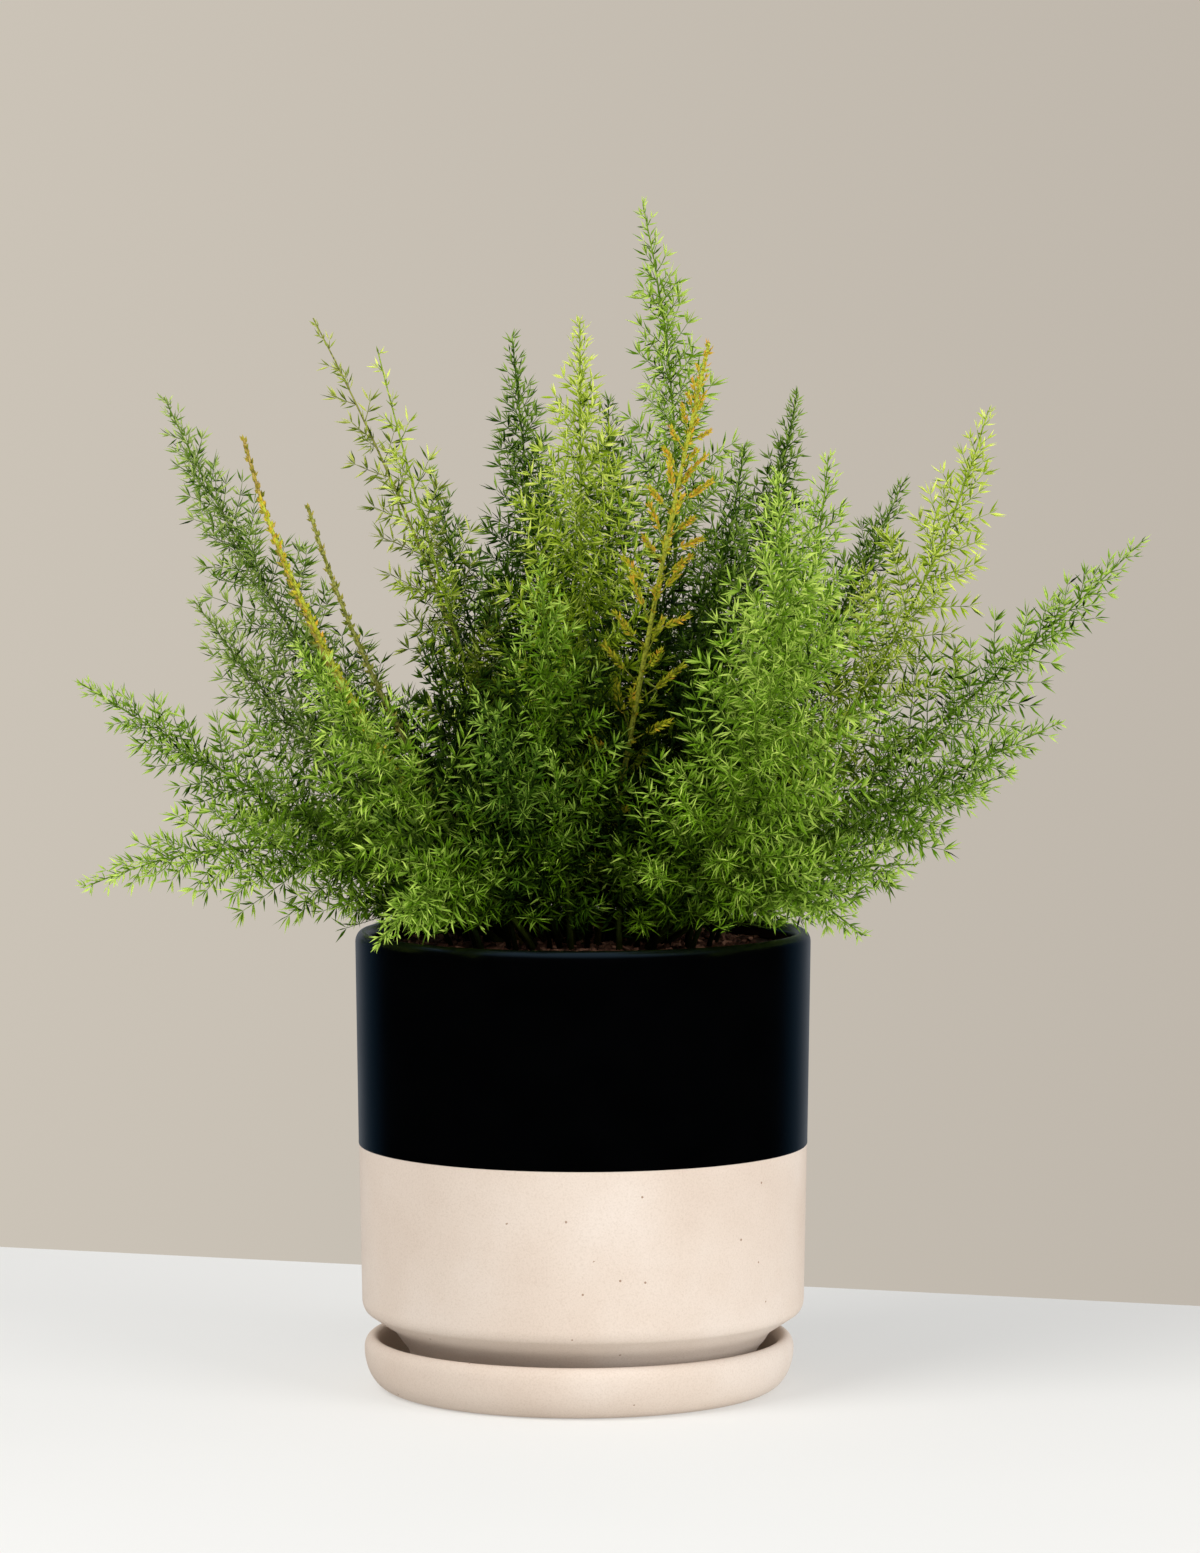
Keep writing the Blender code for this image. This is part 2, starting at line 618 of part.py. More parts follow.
def main():
    """Build every piece of the potted fern."""
    clear_scene()
    bisque = material("bisque", (0.79, 0.66, 0.55), 0.82)
    glaze = material("black_glaze", (0.006, 0.008, 0.012), 0.28)
    earth = material("soil", (0.115, 0.055, 0.035), 0.95)
    make_saucer(bisque)
    make_pot(bisque, glaze)
    rng = random.Random(SEED)
    shoots = [Shoot(*row) for row in SHOOTS]
    thicket = Thicket()
    for shoot in shoots:
        stem = spike(stem_spine(shoot), shoot.across, shoot.habit)
        shoot.spikes.append(stem)
        thicket.add(shoot.name, stem["lines"])
    for shoot in shoots:
        shoot.spikes[0] = keep_clear(thicket, shoot.name, shoot.spikes[0])
        grow_sprigs(shoot, thicket, rng)
    finishes = {tint: material("leaf_" + tint, colour, 0.55) for tint, colour in TINTS.items()}
    for shoot in shoots:
        make_shoot(shoot, finishes[shoot.tint])
    make_soil(earth, [(shoot.foot, stem_turn(shoot)) for shoot in shoots])


main()
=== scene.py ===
# %% [markdown]
# # A potted foxtail fern
# The plant is a bush of soft plumes. Each plume is one leafy stem: side shoots wind round it, and along
# every side shoot sit small bundles of needles. It stands in a straight stoneware planter that is dipped in
# black glaze down to its waist, on a small saucer of the same raw clay.
#
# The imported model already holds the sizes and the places. This lesson dresses it: it loads that model as a
# frame, turns finer stoneware on the same profile, grows every plume along the same stem curve, and lights
# the plant like a product in a small studio.

# %% Load the frame
import math

import bmesh
import bpy
import numpy as np
from mathutils import Euler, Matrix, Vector, noise


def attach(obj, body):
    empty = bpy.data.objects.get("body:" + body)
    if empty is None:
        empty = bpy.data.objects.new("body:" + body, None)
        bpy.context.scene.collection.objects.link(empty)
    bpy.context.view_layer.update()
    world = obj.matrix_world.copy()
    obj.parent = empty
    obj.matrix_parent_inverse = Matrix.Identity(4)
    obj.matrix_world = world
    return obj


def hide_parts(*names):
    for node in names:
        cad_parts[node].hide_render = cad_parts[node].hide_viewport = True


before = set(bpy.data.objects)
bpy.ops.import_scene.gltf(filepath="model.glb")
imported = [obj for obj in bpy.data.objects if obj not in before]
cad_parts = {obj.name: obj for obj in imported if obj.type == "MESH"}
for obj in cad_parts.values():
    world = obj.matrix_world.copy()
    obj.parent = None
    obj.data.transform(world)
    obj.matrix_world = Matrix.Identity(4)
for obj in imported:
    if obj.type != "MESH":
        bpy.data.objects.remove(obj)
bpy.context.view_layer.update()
print("nodes in the frame:", len(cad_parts))

# %% [markdown]
# ## Camera first
# A long lens from 2.5 m away keeps the pot's sides nearly parallel, as in a catalogue picture. The lens
# looks down by about four degrees, so the rim shows as a thin ellipse. The height, the tilt and the focal
# length come from fitting the three rings of the pot: the rim, the glaze line and the saucer.

# %% Camera
FOCAL_LENGTH = 129.2
SENSOR_WIDTH = 36.0
CAMERA_AT = (0.00765, -2.5, 0.44393)
CAMERA_TILT = 86.152

camera_data = bpy.data.cameras.new("camera")
camera_data.lens = FOCAL_LENGTH
camera_data.sensor_width = SENSOR_WIDTH
camera = bpy.data.objects.new("camera", camera_data)
camera.location = CAMERA_AT
camera.rotation_euler.x = math.radians(CAMERA_TILT)
bpy.context.scene.collection.objects.link(camera)
bpy.context.scene.camera = camera
print("camera stands", round(-camera.location.y, 2), "m in front of the pot")

# %% [markdown]
# ## How a finish is written
# A finish is a small tree of nodes that ends in one shader. Writing each node as a call that names its
# sockets keeps the tree readable: a socket is given a number, a colour, or the output of an earlier node.

# %% Helpers for finishes
def set_sockets(tree, node, sockets):
    """Give each named socket a value, or link it to another node's output."""
    for name, value in sockets.items():
        if isinstance(value, bpy.types.NodeSocket):
            tree.links.new(value, node.inputs[name])
        else:
            node.inputs[name].default_value = value


def add_node(tree, kind, sockets=None, **settings):
    """Add a node with its settings and sockets."""
    made = tree.nodes.new(kind)
    for name, value in settings.items():
        setattr(made, name, value)
    set_sockets(tree, made, sockets or {})
    return made


def new_finish(name):
    """An empty material: its tree, its shader and the object's own coordinates."""
    finish = bpy.data.materials.new(name)
    finish.use_nodes = True
    tree = finish.node_tree
    coordinates = add_node(tree, "ShaderNodeTexCoord").outputs["Object"]
    return finish, tree, tree.nodes["Principled BSDF"], coordinates


def grain(tree, coordinates, size, detail=2.0, roughness=0.5):
    """Smooth noise whose lumps are about as large as the given size in metres."""
    sockets = {"Vector": coordinates, "Scale": 1 / size, "Detail": detail, "Roughness": roughness}
    return add_node(tree, "ShaderNodeTexNoise", sockets).outputs["Fac"]


def ramp(tree, factor, stops):
    """Colours along a factor; each stop is a place from 0 to 1 and a linear colour."""
    made = add_node(tree, "ShaderNodeValToRGB", {"Fac": factor})
    band = made.color_ramp
    while len(band.elements) < len(stops):
        band.elements.new(0.5)
    for element, (place, colour) in zip(band.elements, stops):
        element.position = place
        element.color = (*colour, 1.0)
    return made.outputs["Color"]


def blend(tree, factor, first, second, mode="MIX"):
    """Mix two colours by a factor."""
    made = add_node(tree, "ShaderNodeMix", data_type="RGBA", blend_type=mode)
    for socket, value in (("Factor", factor), ("A", first), ("B", second)):
        target = [plug for plug in made.inputs if plug.name == socket and plug.enabled][0]
        if isinstance(value, bpy.types.NodeSocket):
            tree.links.new(value, target)
        else:
            target.default_value = value
    return [plug for plug in made.outputs if plug.enabled][0]


def reckon(tree, operation, first, second):
    """Work out one number from two."""
    return add_node(tree, "ShaderNodeMath", {0: first, 1: second}, operation=operation).outputs[0]


def rescale(tree, value, before=(0.0, 1.0), after=(0.0, 1.0)):
    """Move a number from one range to another."""
    sockets = {"Value": value, "From Min": before[0], "From Max": before[1]}
    sockets |= {"To Min": after[0], "To Max": after[1]}
    return add_node(tree, "ShaderNodeMapRange", sockets).outputs["Result"]


def tone_of(tree):
    """The shade from 0 to 1 that a mesh carries at each of its corners."""
    return add_node(tree, "ShaderNodeAttribute", attribute_name="tone").outputs["Fac"]


def bump(tree, height, distance, strength, normal=None):
    """Turn a height into a tilted surface normal."""
    sockets = {"Height": height, "Distance": distance, "Strength": strength}
    if normal is not None:
        sockets["Normal"] = normal
    return add_node(tree, "ShaderNodeBump", sockets).outputs["Normal"]


def coat(tree, shader, colour, roughness, specular, normal=None):
    """Give the shader its colour, roughness, gloss and bumps."""
    sockets = {"Base Color": colour, "Roughness": roughness, "Specular IOR Level": specular}
    if normal is not None:
        sockets["Normal"] = normal
    set_sockets(tree, shader, sockets)


# %% [markdown]
# ## Raw stoneware
# Below the glaze the clay is left bare. Fired at high heat it turns a pinkish cream, matt and slightly
# sandy: fine grog shows as specks, some grains have fallen out and left pits, whose dark is painted shade,
# and the iron in the clay has come up in faint warm clouds. A wheel also leaves very shallow rings. All of it
# is noise and waves at the real sizes: rings almost 30 mm apart, clouds of 60 mm, grains under 1 mm, and pits
# of about 1 mm that only some patches of the clay have.

# %% Bisque
CREAMS = [(0.30, (0.585, 0.487, 0.408)), (0.52, (0.622, 0.530, 0.452)), (0.75, (0.662, 0.584, 0.516))]
CLOUD_SIZE = 0.060
SANDS = [(0.30, (0.86, 0.83, 0.80)), (0.50, (1.0, 1.0, 1.0)), (0.72, (1.06, 1.06, 1.07))]
SAND_SIZE = 0.0008
SAND_SHARE = 0.75
PIT_CELLS = 130.0
PIT_SHARE = 0.075
PIT_PATCH_SIZE = 0.011
PIT_PATCH_LEVEL = 0.60
# The pits' dark colour is painted shade: the surface has no hollow there.
PIT_SHADE_COLOUR = (0.30, 0.20, 0.14, 1.0)
RING_SCALE = 11.0


def make_shaded_pits(tree, spot):
    """One where a grain has fallen out of the clay, zero elsewhere."""
    pattern = {"Vector": spot, "Scale": PIT_CELLS, "Randomness": 1.0}
    cells = add_node(tree, "ShaderNodeTexVoronoi", pattern)
    pit = reckon(tree, "LESS_THAN", cells.outputs["Distance"], PIT_SHARE)
    patches = grain(tree, spot, PIT_PATCH_SIZE, detail=0.0)
    return reckon(tree, "MULTIPLY", pit, reckon(tree, "GREATER_THAN", patches, PIT_PATCH_LEVEL))


def make_bisque():
    """Bare sandy stoneware."""
    finish, tree, shader, spot = new_finish("bisque")
    cream = ramp(tree, grain(tree, spot, CLOUD_SIZE, detail=3.0), CREAMS)
    sand = grain(tree, spot, SAND_SIZE, detail=4.0, roughness=0.7)
    sandy = blend(tree, SAND_SHARE, cream, ramp(tree, sand, SANDS), "MULTIPLY")
    # Painted shade in the pits, as dark dots.
    pit_shaded = blend(tree, make_shaded_pits(tree, spot), sandy, PIT_SHADE_COLOUR)
    pattern = {"Vector": spot, "Scale": RING_SCALE, "Distortion": 1.2, "Detail": 1.0}
    rings = add_node(tree, "ShaderNodeTexWave", pattern, bands_direction="Z")
    wheel = bump(tree, rings.outputs["Fac"], distance=0.0002, strength=0.12)
    rough = bump(tree, sand, distance=0.00012, strength=0.55, normal=wheel)
    coat(tree, shader, pit_shaded, roughness=0.86, specular=0.3, normal=rough)
    return finish


bisque = make_bisque()
print("finish:", bisque.name, "with", len(bisque.node_tree.nodes), "nodes")

# %% [markdown]
# ## Black glaze
# The upper half, the lip and the inside wear a satin black glaze. It reflects, but softly: the room shows
# only where the wall turns away from the eye. A clear dielectric does exactly that, so the colour is nearly
# black and all of the life is in the roughness. Glaze is never quite even: a slow change in roughness and a
# very slight orange-peel keep its reflections from looking like plastic.

# %% Glaze
BLACKS = [(0.3, (0.0001, 0.0002, 0.0003)), (0.7, (0.0003, 0.0004, 0.0006))]
SLOW_CHANGE = 0.025
SATIN = (0.20, 0.28)
PEEL_SIZE = 0.0045


def make_glaze():
    """Satin black glaze."""
    finish, tree, shader, spot = new_finish("black_glaze")
    slow = grain(tree, spot, SLOW_CHANGE)
    peel = bump(tree, grain(tree, spot, PEEL_SIZE, detail=1.0), distance=0.0001, strength=0.10)
    satin = rescale(tree, slow, after=SATIN)
    coat(tree, shader, ramp(tree, slow, BLACKS), roughness=satin, specular=0.45, normal=peel)
    return finish


glaze = make_glaze()
print("finish:", glaze.name, "with", len(glaze.node_tree.nodes), "nodes")

# %% [markdown]
# ## Turning a pot
# A pot comes off a wheel, so its shape is one outline spun round the middle. The outline is a chain of
# corners and arcs, written from the foot up the outside, over the lip and down the inside. The frame holds
# the same outline with few sides; here it is spun in many more, with rounder arcs, and with the glaze
# standing a hair proud of the clay, because a dipped glaze always ends in a small rounded bead.

# %% Outline and wheel
SIDES = 192


def arc(centre, radii, start, end, steps):
    """Points of (radius, height) along an arc, its angles in degrees."""
    angles = [math.radians(start + (end - start) * step / steps) for step in range(steps + 1)]
    return [(centre[0] + radii[0] * math.cos(a), centre[1] + radii[1] * math.sin(a)) for a in angles]


def stretch(start, end, steps):
    """Evenly spaced points on a straight stretch, without its end."""
    return [tuple(Vector(start).lerp(Vector(end), step / steps)) for step in range(steps)]


def spin_outline(outline, closed):
    """Spin (radius, height) points round Z into one closed mesh."""
    bm = bmesh.new()
    verts = [bm.verts.new((radius, 0.0, height)) for radius, height in outline]
    edges = [bm.edges.new(pair) for pair in zip(verts, verts[1:])]
    if closed:
        edges.append(bm.edges.new((verts[-1], verts[0])))
    spin = {"cent": (0, 0, 0), "axis": (0, 0, 1), "angle": math.tau, "steps": SIDES, "use_merge": True}
    bmesh.ops.spin(bm, geom=verts + edges, **spin)
    bmesh.ops.remove_doubles(bm, verts=bm.verts, dist=1e-6)
    bmesh.ops.recalc_face_normals(bm, faces=bm.faces)
    return bm


def as_mesh(name, bm, crease=35):
    """Store a bmesh, smooth except at its creases."""
    mesh = bpy.data.meshes.new(name)
    bm.to_mesh(mesh)
    bm.free()
    mesh.shade_smooth()
    mesh.set_sharp_from_angle(angle=math.radians(crease))
    return mesh


def add_piece(name, mesh, finishes, slot, *nodes):
    """Put a mesh in the scene as a piece that stands for some nodes of the frame."""
    for finish in finishes:
        mesh.materials.append(finish)
    piece = bpy.data.objects.new(name, mesh)
    bpy.context.scene.collection.objects.link(piece)
    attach(piece, "root")
    if nodes:
        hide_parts(*nodes)
    return piece


# %% [markdown]
# ## The planter
# From the table up: a narrow foot that flares towards the body, a rounded lower corner, a wall that leans
# out by two or three millimetres, the glaze's bead at the waist, and a full round lip. Inside, the wall goes
# down to a thick floor with a drain hole. The faces above the waist and those of the inner wall get the
# glaze. To tell inner from outer wall, the middle of its thickness is given at five heights.

# %% Planter
GAP = 0.0003
SAUCER_FLOOR = 0.006
FOOT = SAUCER_FLOOR + GAP
FOOT_RADIUS = 0.077
FOOT_EDGE = 0.001
FLARE_MIDDLE = (0.090, FOOT + 0.0035)
FLARE_RADII = (0.0128, 0.0150)
FOOT_TOP = FOOT + 0.0205
FOOT_TOP_RADIUS = 0.0857
BASE_RADIUS = 0.0998
BASE_HEIGHT = 0.034
CORNER_RADII = (0.004, 0.0065)
WALL_START = (0.0999, 0.046)
WAIST_RADIUS = 0.101
GLAZE_LINE = 0.1106
GLAZE_THICK = 0.00025
GLAZE_BEAD = 0.0006
LAST_RAW_RING = GLAZE_LINE - 0.0002
FIRST_GLAZED_RING = GLAZE_LINE + 0.003
POT_RADIUS = 0.1025
POT_HEIGHT = 0.2067
POT_WALL = 0.0075
LIP_RISE = 0.005
LIP_START = POT_HEIGHT - LIP_RISE
LAST_WALL_RING = LIP_START - 0.001
INNER_BEND = FOOT_TOP + 0.017
POT_FLOOR = FOOT + 0.0107
RECESS = FOOT + 0.002
RECESS_RADIUS = 0.069
FOOT_RING_RADIUS = 0.071
DRAIN_RADIUS = 0.006
MIDDLE_OF_WALL = [
    (POT_FLOOR, 0.0748), (FOOT_TOP, 0.0820), (FOOT_TOP + POT_WALL, 0.0885), (INNER_BEND, 0.0961),
    (POT_HEIGHT, POT_RADIUS - POT_WALL / 2),
]


def inner_bends(gap):
    """The two bends of the inner wall, upper one first, drawn in by a gap."""
    lower = (FOOT_TOP_RADIUS - POT_WALL - gap, FOOT_TOP + POT_WALL)
    return [(BASE_RADIUS - POT_WALL - gap, INNER_BEND), lower]


def pot_outline():
    """The planter's outline, from its foot up, over the lip and down to the drain hole."""
    lip = POT_WALL / 2
    outline = arc((FOOT_RADIUS - FOOT_EDGE, FOOT + FOOT_EDGE), (FOOT_EDGE, FOOT_EDGE), -90, 0, 4)
    outline += arc(FLARE_MIDDLE, FLARE_RADII, 178, 128, 8)
    outline += [(FOOT_TOP_RADIUS, FOOT_TOP)]
    outline += arc((BASE_RADIUS - CORNER_RADII[0], BASE_HEIGHT + CORNER_RADII[1]), CORNER_RADII, -70, 0, 10)
    outline += stretch(WALL_START, (WAIST_RADIUS, LAST_RAW_RING), 12)
    outline += [(WAIST_RADIUS, GLAZE_LINE)]
    outline += arc((WAIST_RADIUS, GLAZE_LINE + GLAZE_BEAD), (GLAZE_THICK, GLAZE_BEAD), -90, 0, 4)
    outline += stretch((WAIST_RADIUS + GLAZE_THICK, FIRST_GLAZED_RING), (POT_RADIUS, LAST_WALL_RING), 16)
    outline += arc((POT_RADIUS - lip, LIP_START), (lip, LIP_RISE), 0, 180, 18)
    outline += inner_bends(gap=0.0)
    outline += [(FOOT_RADIUS - POT_WALL, POT_FLOOR), (DRAIN_RADIUS, POT_FLOOR), (DRAIN_RADIUS, RECESS)]
    outline += [(RECESS_RADIUS, RECESS), (FOOT_RING_RADIUS, FOOT)]
    return outline


def make_planter():
    """The planter, with raw clay below its waist and glaze above and inside."""
    heights, middles = zip(*MIDDLE_OF_WALL)
    bm = spin_outline(pot_outline(), closed=True)
    for face in bm.faces:
        middle = face.calc_center_median()
        inside = math.hypot(middle.x, middle.y) < np.interp(middle.z, heights, middles)
        face.material_index = int(middle.z > GLAZE_LINE or (inside and middle.z > POT_FLOOR))
    return add_piece("planter", as_mesh("planter", bm), [bisque, glaze], "pot", "pot")


planter = make_planter()
print("planter:", len(planter.data.polygons), "faces, rim", round(2000 * POT_RADIUS), "mm across")

# %% [markdown]
# ## The saucer
# A low dish from the same clay. Its wall curls in to a rolled lip, and the pot's foot stands on its flat
# floor with a narrow gap all round. It sits about two millimetres to the left of the pot's middle, as things
# do when a pot is set down by hand.

# %% Saucer
SAUCER_SHIFT = -0.0018
SAUCER_RADIUS = 0.097
SAUCER_BASE = 0.085
SAUCER_SHOULDER = 0.018
SAUCER_HEIGHT = 0.0235
SAUCER_WALL = 0.0075
SAUCER_FILLET = 0.004
BASE_RINGS = (0.040, SAUCER_BASE - 0.002)
FLOOR_RING = 0.045


def make_saucer():
    """The raw clay dish under the planter."""
    lip = SAUCER_WALL / 2
    inner = SAUCER_RADIUS - SAUCER_WALL
    curl = (SAUCER_RADIUS - SAUCER_BASE, SAUCER_SHOULDER)
    roll = (lip, SAUCER_HEIGHT - SAUCER_SHOULDER)
    fillet = (SAUCER_FILLET, SAUCER_FILLET)
    outline = [(0.0, 0.0)] + stretch((BASE_RINGS[0], 0.0), (BASE_RINGS[1], 0.0), 2)
    outline += arc((SAUCER_BASE, SAUCER_SHOULDER), curl, -90, 0, 16)
    outline += arc((SAUCER_RADIUS - lip, SAUCER_SHOULDER), roll, 12, 180, 16)
    outline += arc((inner - SAUCER_FILLET, SAUCER_FLOOR + SAUCER_FILLET), fillet, 0, -90, 6)
    outline += [(FLOOR_RING, SAUCER_FLOOR), (0.0, SAUCER_FLOOR)]
    bm = spin_outline(outline, closed=False)
    bmesh.ops.translate(bm, verts=bm.verts, vec=(SAUCER_SHIFT, 0, 0))
    return add_piece("saucer_dish", as_mesh("saucer_dish", bm), [bisque], "bisque", "saucer")


saucer = make_saucer()
print("saucer:", len(saucer.data.polygons), "faces")

# %% [markdown]
# ## Potting mix
# Behind the front lip a strip of reddish brown potting mix shows: fibre, crumbs and bits of bark. A bumpy
# disc alone looks like chocolate, so the surface has two layers: a lumpy body that fills the pot, and nine
# hundred chips of bark, each with its own brown, lying a little sunk in it.

# %% Soil
SOIL_TOP = POT_HEIGHT - 0.0085
SOIL_MOUND = 0.003
SOIL_RIM = POT_RADIUS - POT_WALL - 0.0006
SOIL_RINGS = 48
SOIL_FLOOR = FOOT + 0.0115
SOIL_FLOOR_RADIUS = 0.069
SOIL_TONE = 0.4
LUMPS_PER_METRE = 120
LUMP_NOISE = (0.8, 2.1, 4)
LUMP_HEIGHT = 0.0011
LUMP_FADE = 6
CRUMB_SIZE = 0.0022
BROWNS = [(0.25, (0.020, 0.010, 0.006)), (0.48, (0.095, 0.042, 0.026)), (0.75, (0.30, 0.155, 0.095))]


def make_earth():
    """Brown crumbs; the attribute gives each chip its own shade."""
    finish, tree, shader, spot = new_finish("potting_mix")
    crumbs = grain(tree, spot, CRUMB_SIZE, detail=5.0, roughness=0.7)
    average = reckon(tree, "MULTIPLY", reckon(tree, "ADD", tone_of(tree), crumbs), 0.5)
    crumbly = bump(tree, crumbs, distance=0.0012, strength=0.8)
    coat(tree, shader, ramp(tree, average, BROWNS), roughness=0.95, specular=0.2, normal=crumbly)
    return finish


def set_tones(mesh, tones):
    """Store the shade of each corner, which the finishes read."""
    mesh.attributes.new("tone", "FLOAT", "POINT").data.foreach_set("value", tones)


def soil_height(x, y):
    """Height of the lumpy soil above the table."""
    out = math.hypot(x, y) / SOIL_RIM
    lumps = noise.fractal(Vector((x, y, 0.0)) * LUMPS_PER_METRE, *LUMP_NOISE)
    return SOIL_TOP + SOIL_MOUND * (1 - out) + LUMP_HEIGHT * lumps * min(1.0, LUMP_FADE * (1 - out))


def make_soil():
    """The body of potting mix, lumpy on top."""
    top = [(SOIL_RIM * ring / SOIL_RINGS, SOIL_TOP) for ring in range(SOIL_RINGS + 1)]
    below = inner_bends(GAP) + [(SOIL_FLOOR_RADIUS, SOIL_FLOOR), (0.0, SOIL_FLOOR)]
    bm = spin_outline(top + below, closed=False)
    for vert in bm.verts:
        if vert.co.z > SOIL_TOP - 1e-5:
            vert.co.z = soil_height(vert.co.x, vert.co.y)
    mesh = as_mesh("potting_mix", bm, crease=60)
    set_tones(mesh, [SOIL_TONE] * len(mesh.vertices))
    return add_piece("potting_mix", mesh, [earth], "soil", "soil")


earth = make_earth()
soil = make_soil()
print("soil:", len(soil.data.polygons), "faces")

# %% [markdown]
# ## Bark chips
# A chip is a box of eight corners. Each corner is pushed a little out of place, the box is tilted and turned,
# and it is laid on the soil at a random place, spread evenly over the disc. All chips share one mesh.

# %% Chips
CHIPS = 900
CHIP_SIZES = ((0.0018, 0.0058), (0.0012, 0.0028), (0.0006, 0.0016))
CHIP_TWIST = 0.13
CHIP_TILT = 0.35
CHIP_RISE = 0.35
CHIP_TONES = (0.1, 1.0)
CHIP_SPREAD = 0.93
CHIP_SEED = 5


def make_chips():
    """Bark chips lying on the soil."""
    rng = np.random.default_rng(CHIP_SEED)
    block = np.array([(x, y, z) for z in (-1, 1) for y in (-1, 1) for x in (-1, 1)], float) / 2
    sides = [(0, 2, 3, 1), (4, 5, 7, 6), (0, 1, 5, 4), (2, 6, 7, 3), (0, 4, 6, 2), (1, 3, 7, 5)]
    points, faces, tones = [], [], []
    for _ in range(CHIPS):
        out = SOIL_RIM * math.sqrt(rng.uniform(0.0, CHIP_SPREAD))
        angle = rng.uniform(0, math.tau)
        size = np.array([rng.uniform(*limits) for limits in CHIP_SIZES])
        shape = (block + rng.uniform(-CHIP_TWIST, CHIP_TWIST, block.shape)) * size
        turned = Euler((rng.normal(0, CHIP_TILT), rng.normal(0, CHIP_TILT), rng.uniform(0, math.tau)))
        x, y = out * math.cos(angle), out * math.sin(angle)
        middle = np.array((x, y, soil_height(x, y) + size[2] * CHIP_RISE))
        faces += [tuple(len(points) + corner for corner in side) for side in sides]
        points += (shape @ np.array(turned.to_matrix()).T + middle).tolist()
        tones += [rng.uniform(*CHIP_TONES)] * 8
    mesh = bpy.data.meshes.new("bark_chips")
    mesh.from_pydata(points, [], faces)
    set_tones(mesh, tones)
    return add_piece("bark_chips", mesh, [earth], "soil")


chips = make_chips()
print("chips:", CHIPS, "with", len(chips.data.polygons), "faces")

# %% [markdown]
# ## What one plume is
# A plume is a stem that leaves the soil and leans outward on one gentle curve. Side shoots wind round it,
# each a golden angle on from the last, so that they fill the round evenly. About 12 cm below the tip they
# are full grown, and above that they get shorter, which makes the pointed fox tail. Along every side shoot
# sit small bundles of needles, most of them 6 to 10 mm long and 1 mm wide, spread like the fingers of a hand.
#
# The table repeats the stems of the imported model, because the needles have to grow on those curves. The
# first word of a name is the kind of shoot. Then come its tint, the way it leans, in degrees round from +X,
# and five sizes in millimetres: the tip's reach and height, the bow of the stem, where it leaves the soil,
# and how long its side shoots are. The last number says how full it is.

# %% Stems
STEMS = [
    ("plume_tallest", "fresh", 52, 44, 533, 40, 12, 39, 0.9),
    ("plume_left_tall", "grey", 167, 196, 446, 12, 24, 37, 1.0),
    ("plume_left_sparse", "olive", 157, 134, 482, -10, 17, 34, 0.36),
    ("plume_left_slim", "lime", 174, 93, 468, 4, 10, 28, 0.34),
    ("plume_left_middle", "grey", 172, 178, 354, 7, 31, 41, 1.0),
    ("plume_left_long", "green", -175, 225, 319, 0, 36, 41, 1.0),
    ("plume_left_low", "fresh", -167, 226, 230, -30, 36, 41, 0.85),
    ("plume_left_front", "fresh", -142, 156, 340, 5, 26, 48, 1.0),
    ("plume_left_back", "dark", 126, 122, 412, 0, 22, 41, 1.0),
    ("plume_centre_dark", "dark", 150, 37, 473, 0, 4, 34, 1.25),
    ("plume_centre_light", "lime", -92, 36, 479, 0, 8, 41, 1.2),
    ("plume_centre_back", "dark", 80, 66, 445, 20, 14, 39, 1.4),
    ("plume_front_centre", "green", -104, 78, 375, 0, 18, 46, 1.0),
    ("plume_front_left", "dark", -111, 123, 319, -3, 28, 46, 0.7),
    ("plume_front_middle", "green", -99, 84, 292, -6, 34, 38, 0.6),
    ("plume_front_right", "fresh", -50, 130, 414, 44, 27, 51, 1.1),
    ("plume_front_low_left", "green", -127, 145, 212, -26, 36, 39, 1.0),
    ("plume_front_low_middle", "green", -66, 82, 238, -20, 40, 32, 1.0),
    ("plume_front_low_right", "green", -41, 160, 214, -26, 38, 41, 1.0),
    ("plume_right_small_dark", "dark", 30, 85, 424, 8, 13, 30, 1.4),
    ("plume_right_back_dark", "dark", 42, 133, 447, 12, 22, 30, 1.6),
    ("plume_right_steep", "fresh", -16, 113, 420, 22, 14, 41, 1.0),
    ("plume_right_dark", "dark", 21, 157, 407, 8, 22, 37, 1.35),
    ("plume_right_bright", "lime", 2, 182, 440, 24, 21, 41, 0.85),
    ("plume_right_long", "green", -3, 250, 382, 6, 30, 41, 0.85),
    ("plume_right_low", "green", -12, 216, 303, -4, 36, 44, 0.75),
    ("plume_right_low_back", "green", 10, 200, 275, -7, 37, 41, 0.7),
    ("plume_right_hanging", "green", -30, 168, 243, -10, 33, 44, 0.75),
    ("plume_back_inner", "dark", 104, 88, 428, 6, 12, 39, 1.0),
    ("plume_back_left", "green", 142, 170, 345, 6, 29, 44, 1.0),
    ("plume_back_low_left", "fresh", 153, 178, 255, -10, 37, 41, 1.0),
    ("plume_back", "green", 108, 150, 365, 8, 27, 46, 1.0),
    ("plume_back_low", "fresh", 92, 168, 262, -10, 36, 44, 1.0),
    ("plume_back_right", "green", 66, 158, 350, 8, 27, 46, 1.0),
    ("plume_back_low_right", "green", 44, 176, 250, -10, 37, 41, 1.0),
    ("plume_back_low_middle", "green", 122, 156, 226, -20, 38, 39, 1.0),
    ("shoot_gold", "gold", -62, 116, 469, -5, 13, 21, 1.0),
    ("spear_tall", "rust", 179, 152, 427, 18, 22, 0, 1.0),
    ("spear_middle", "gold", -170, 145, 400, 10, 28, 0, 1.0),
    ("spear_short", "moss", -176, 123, 397, 12, 16, 0, 1.0),
]
SHOOTS = [(*row[:3], *(size / 1000 for size in row[3:8]), row[8]) for row in STEMS]


def unit(vectors):
    """The same directions at length one."""
    return vectors / np.linalg.norm(vectors, axis=-1, keepdims=True)


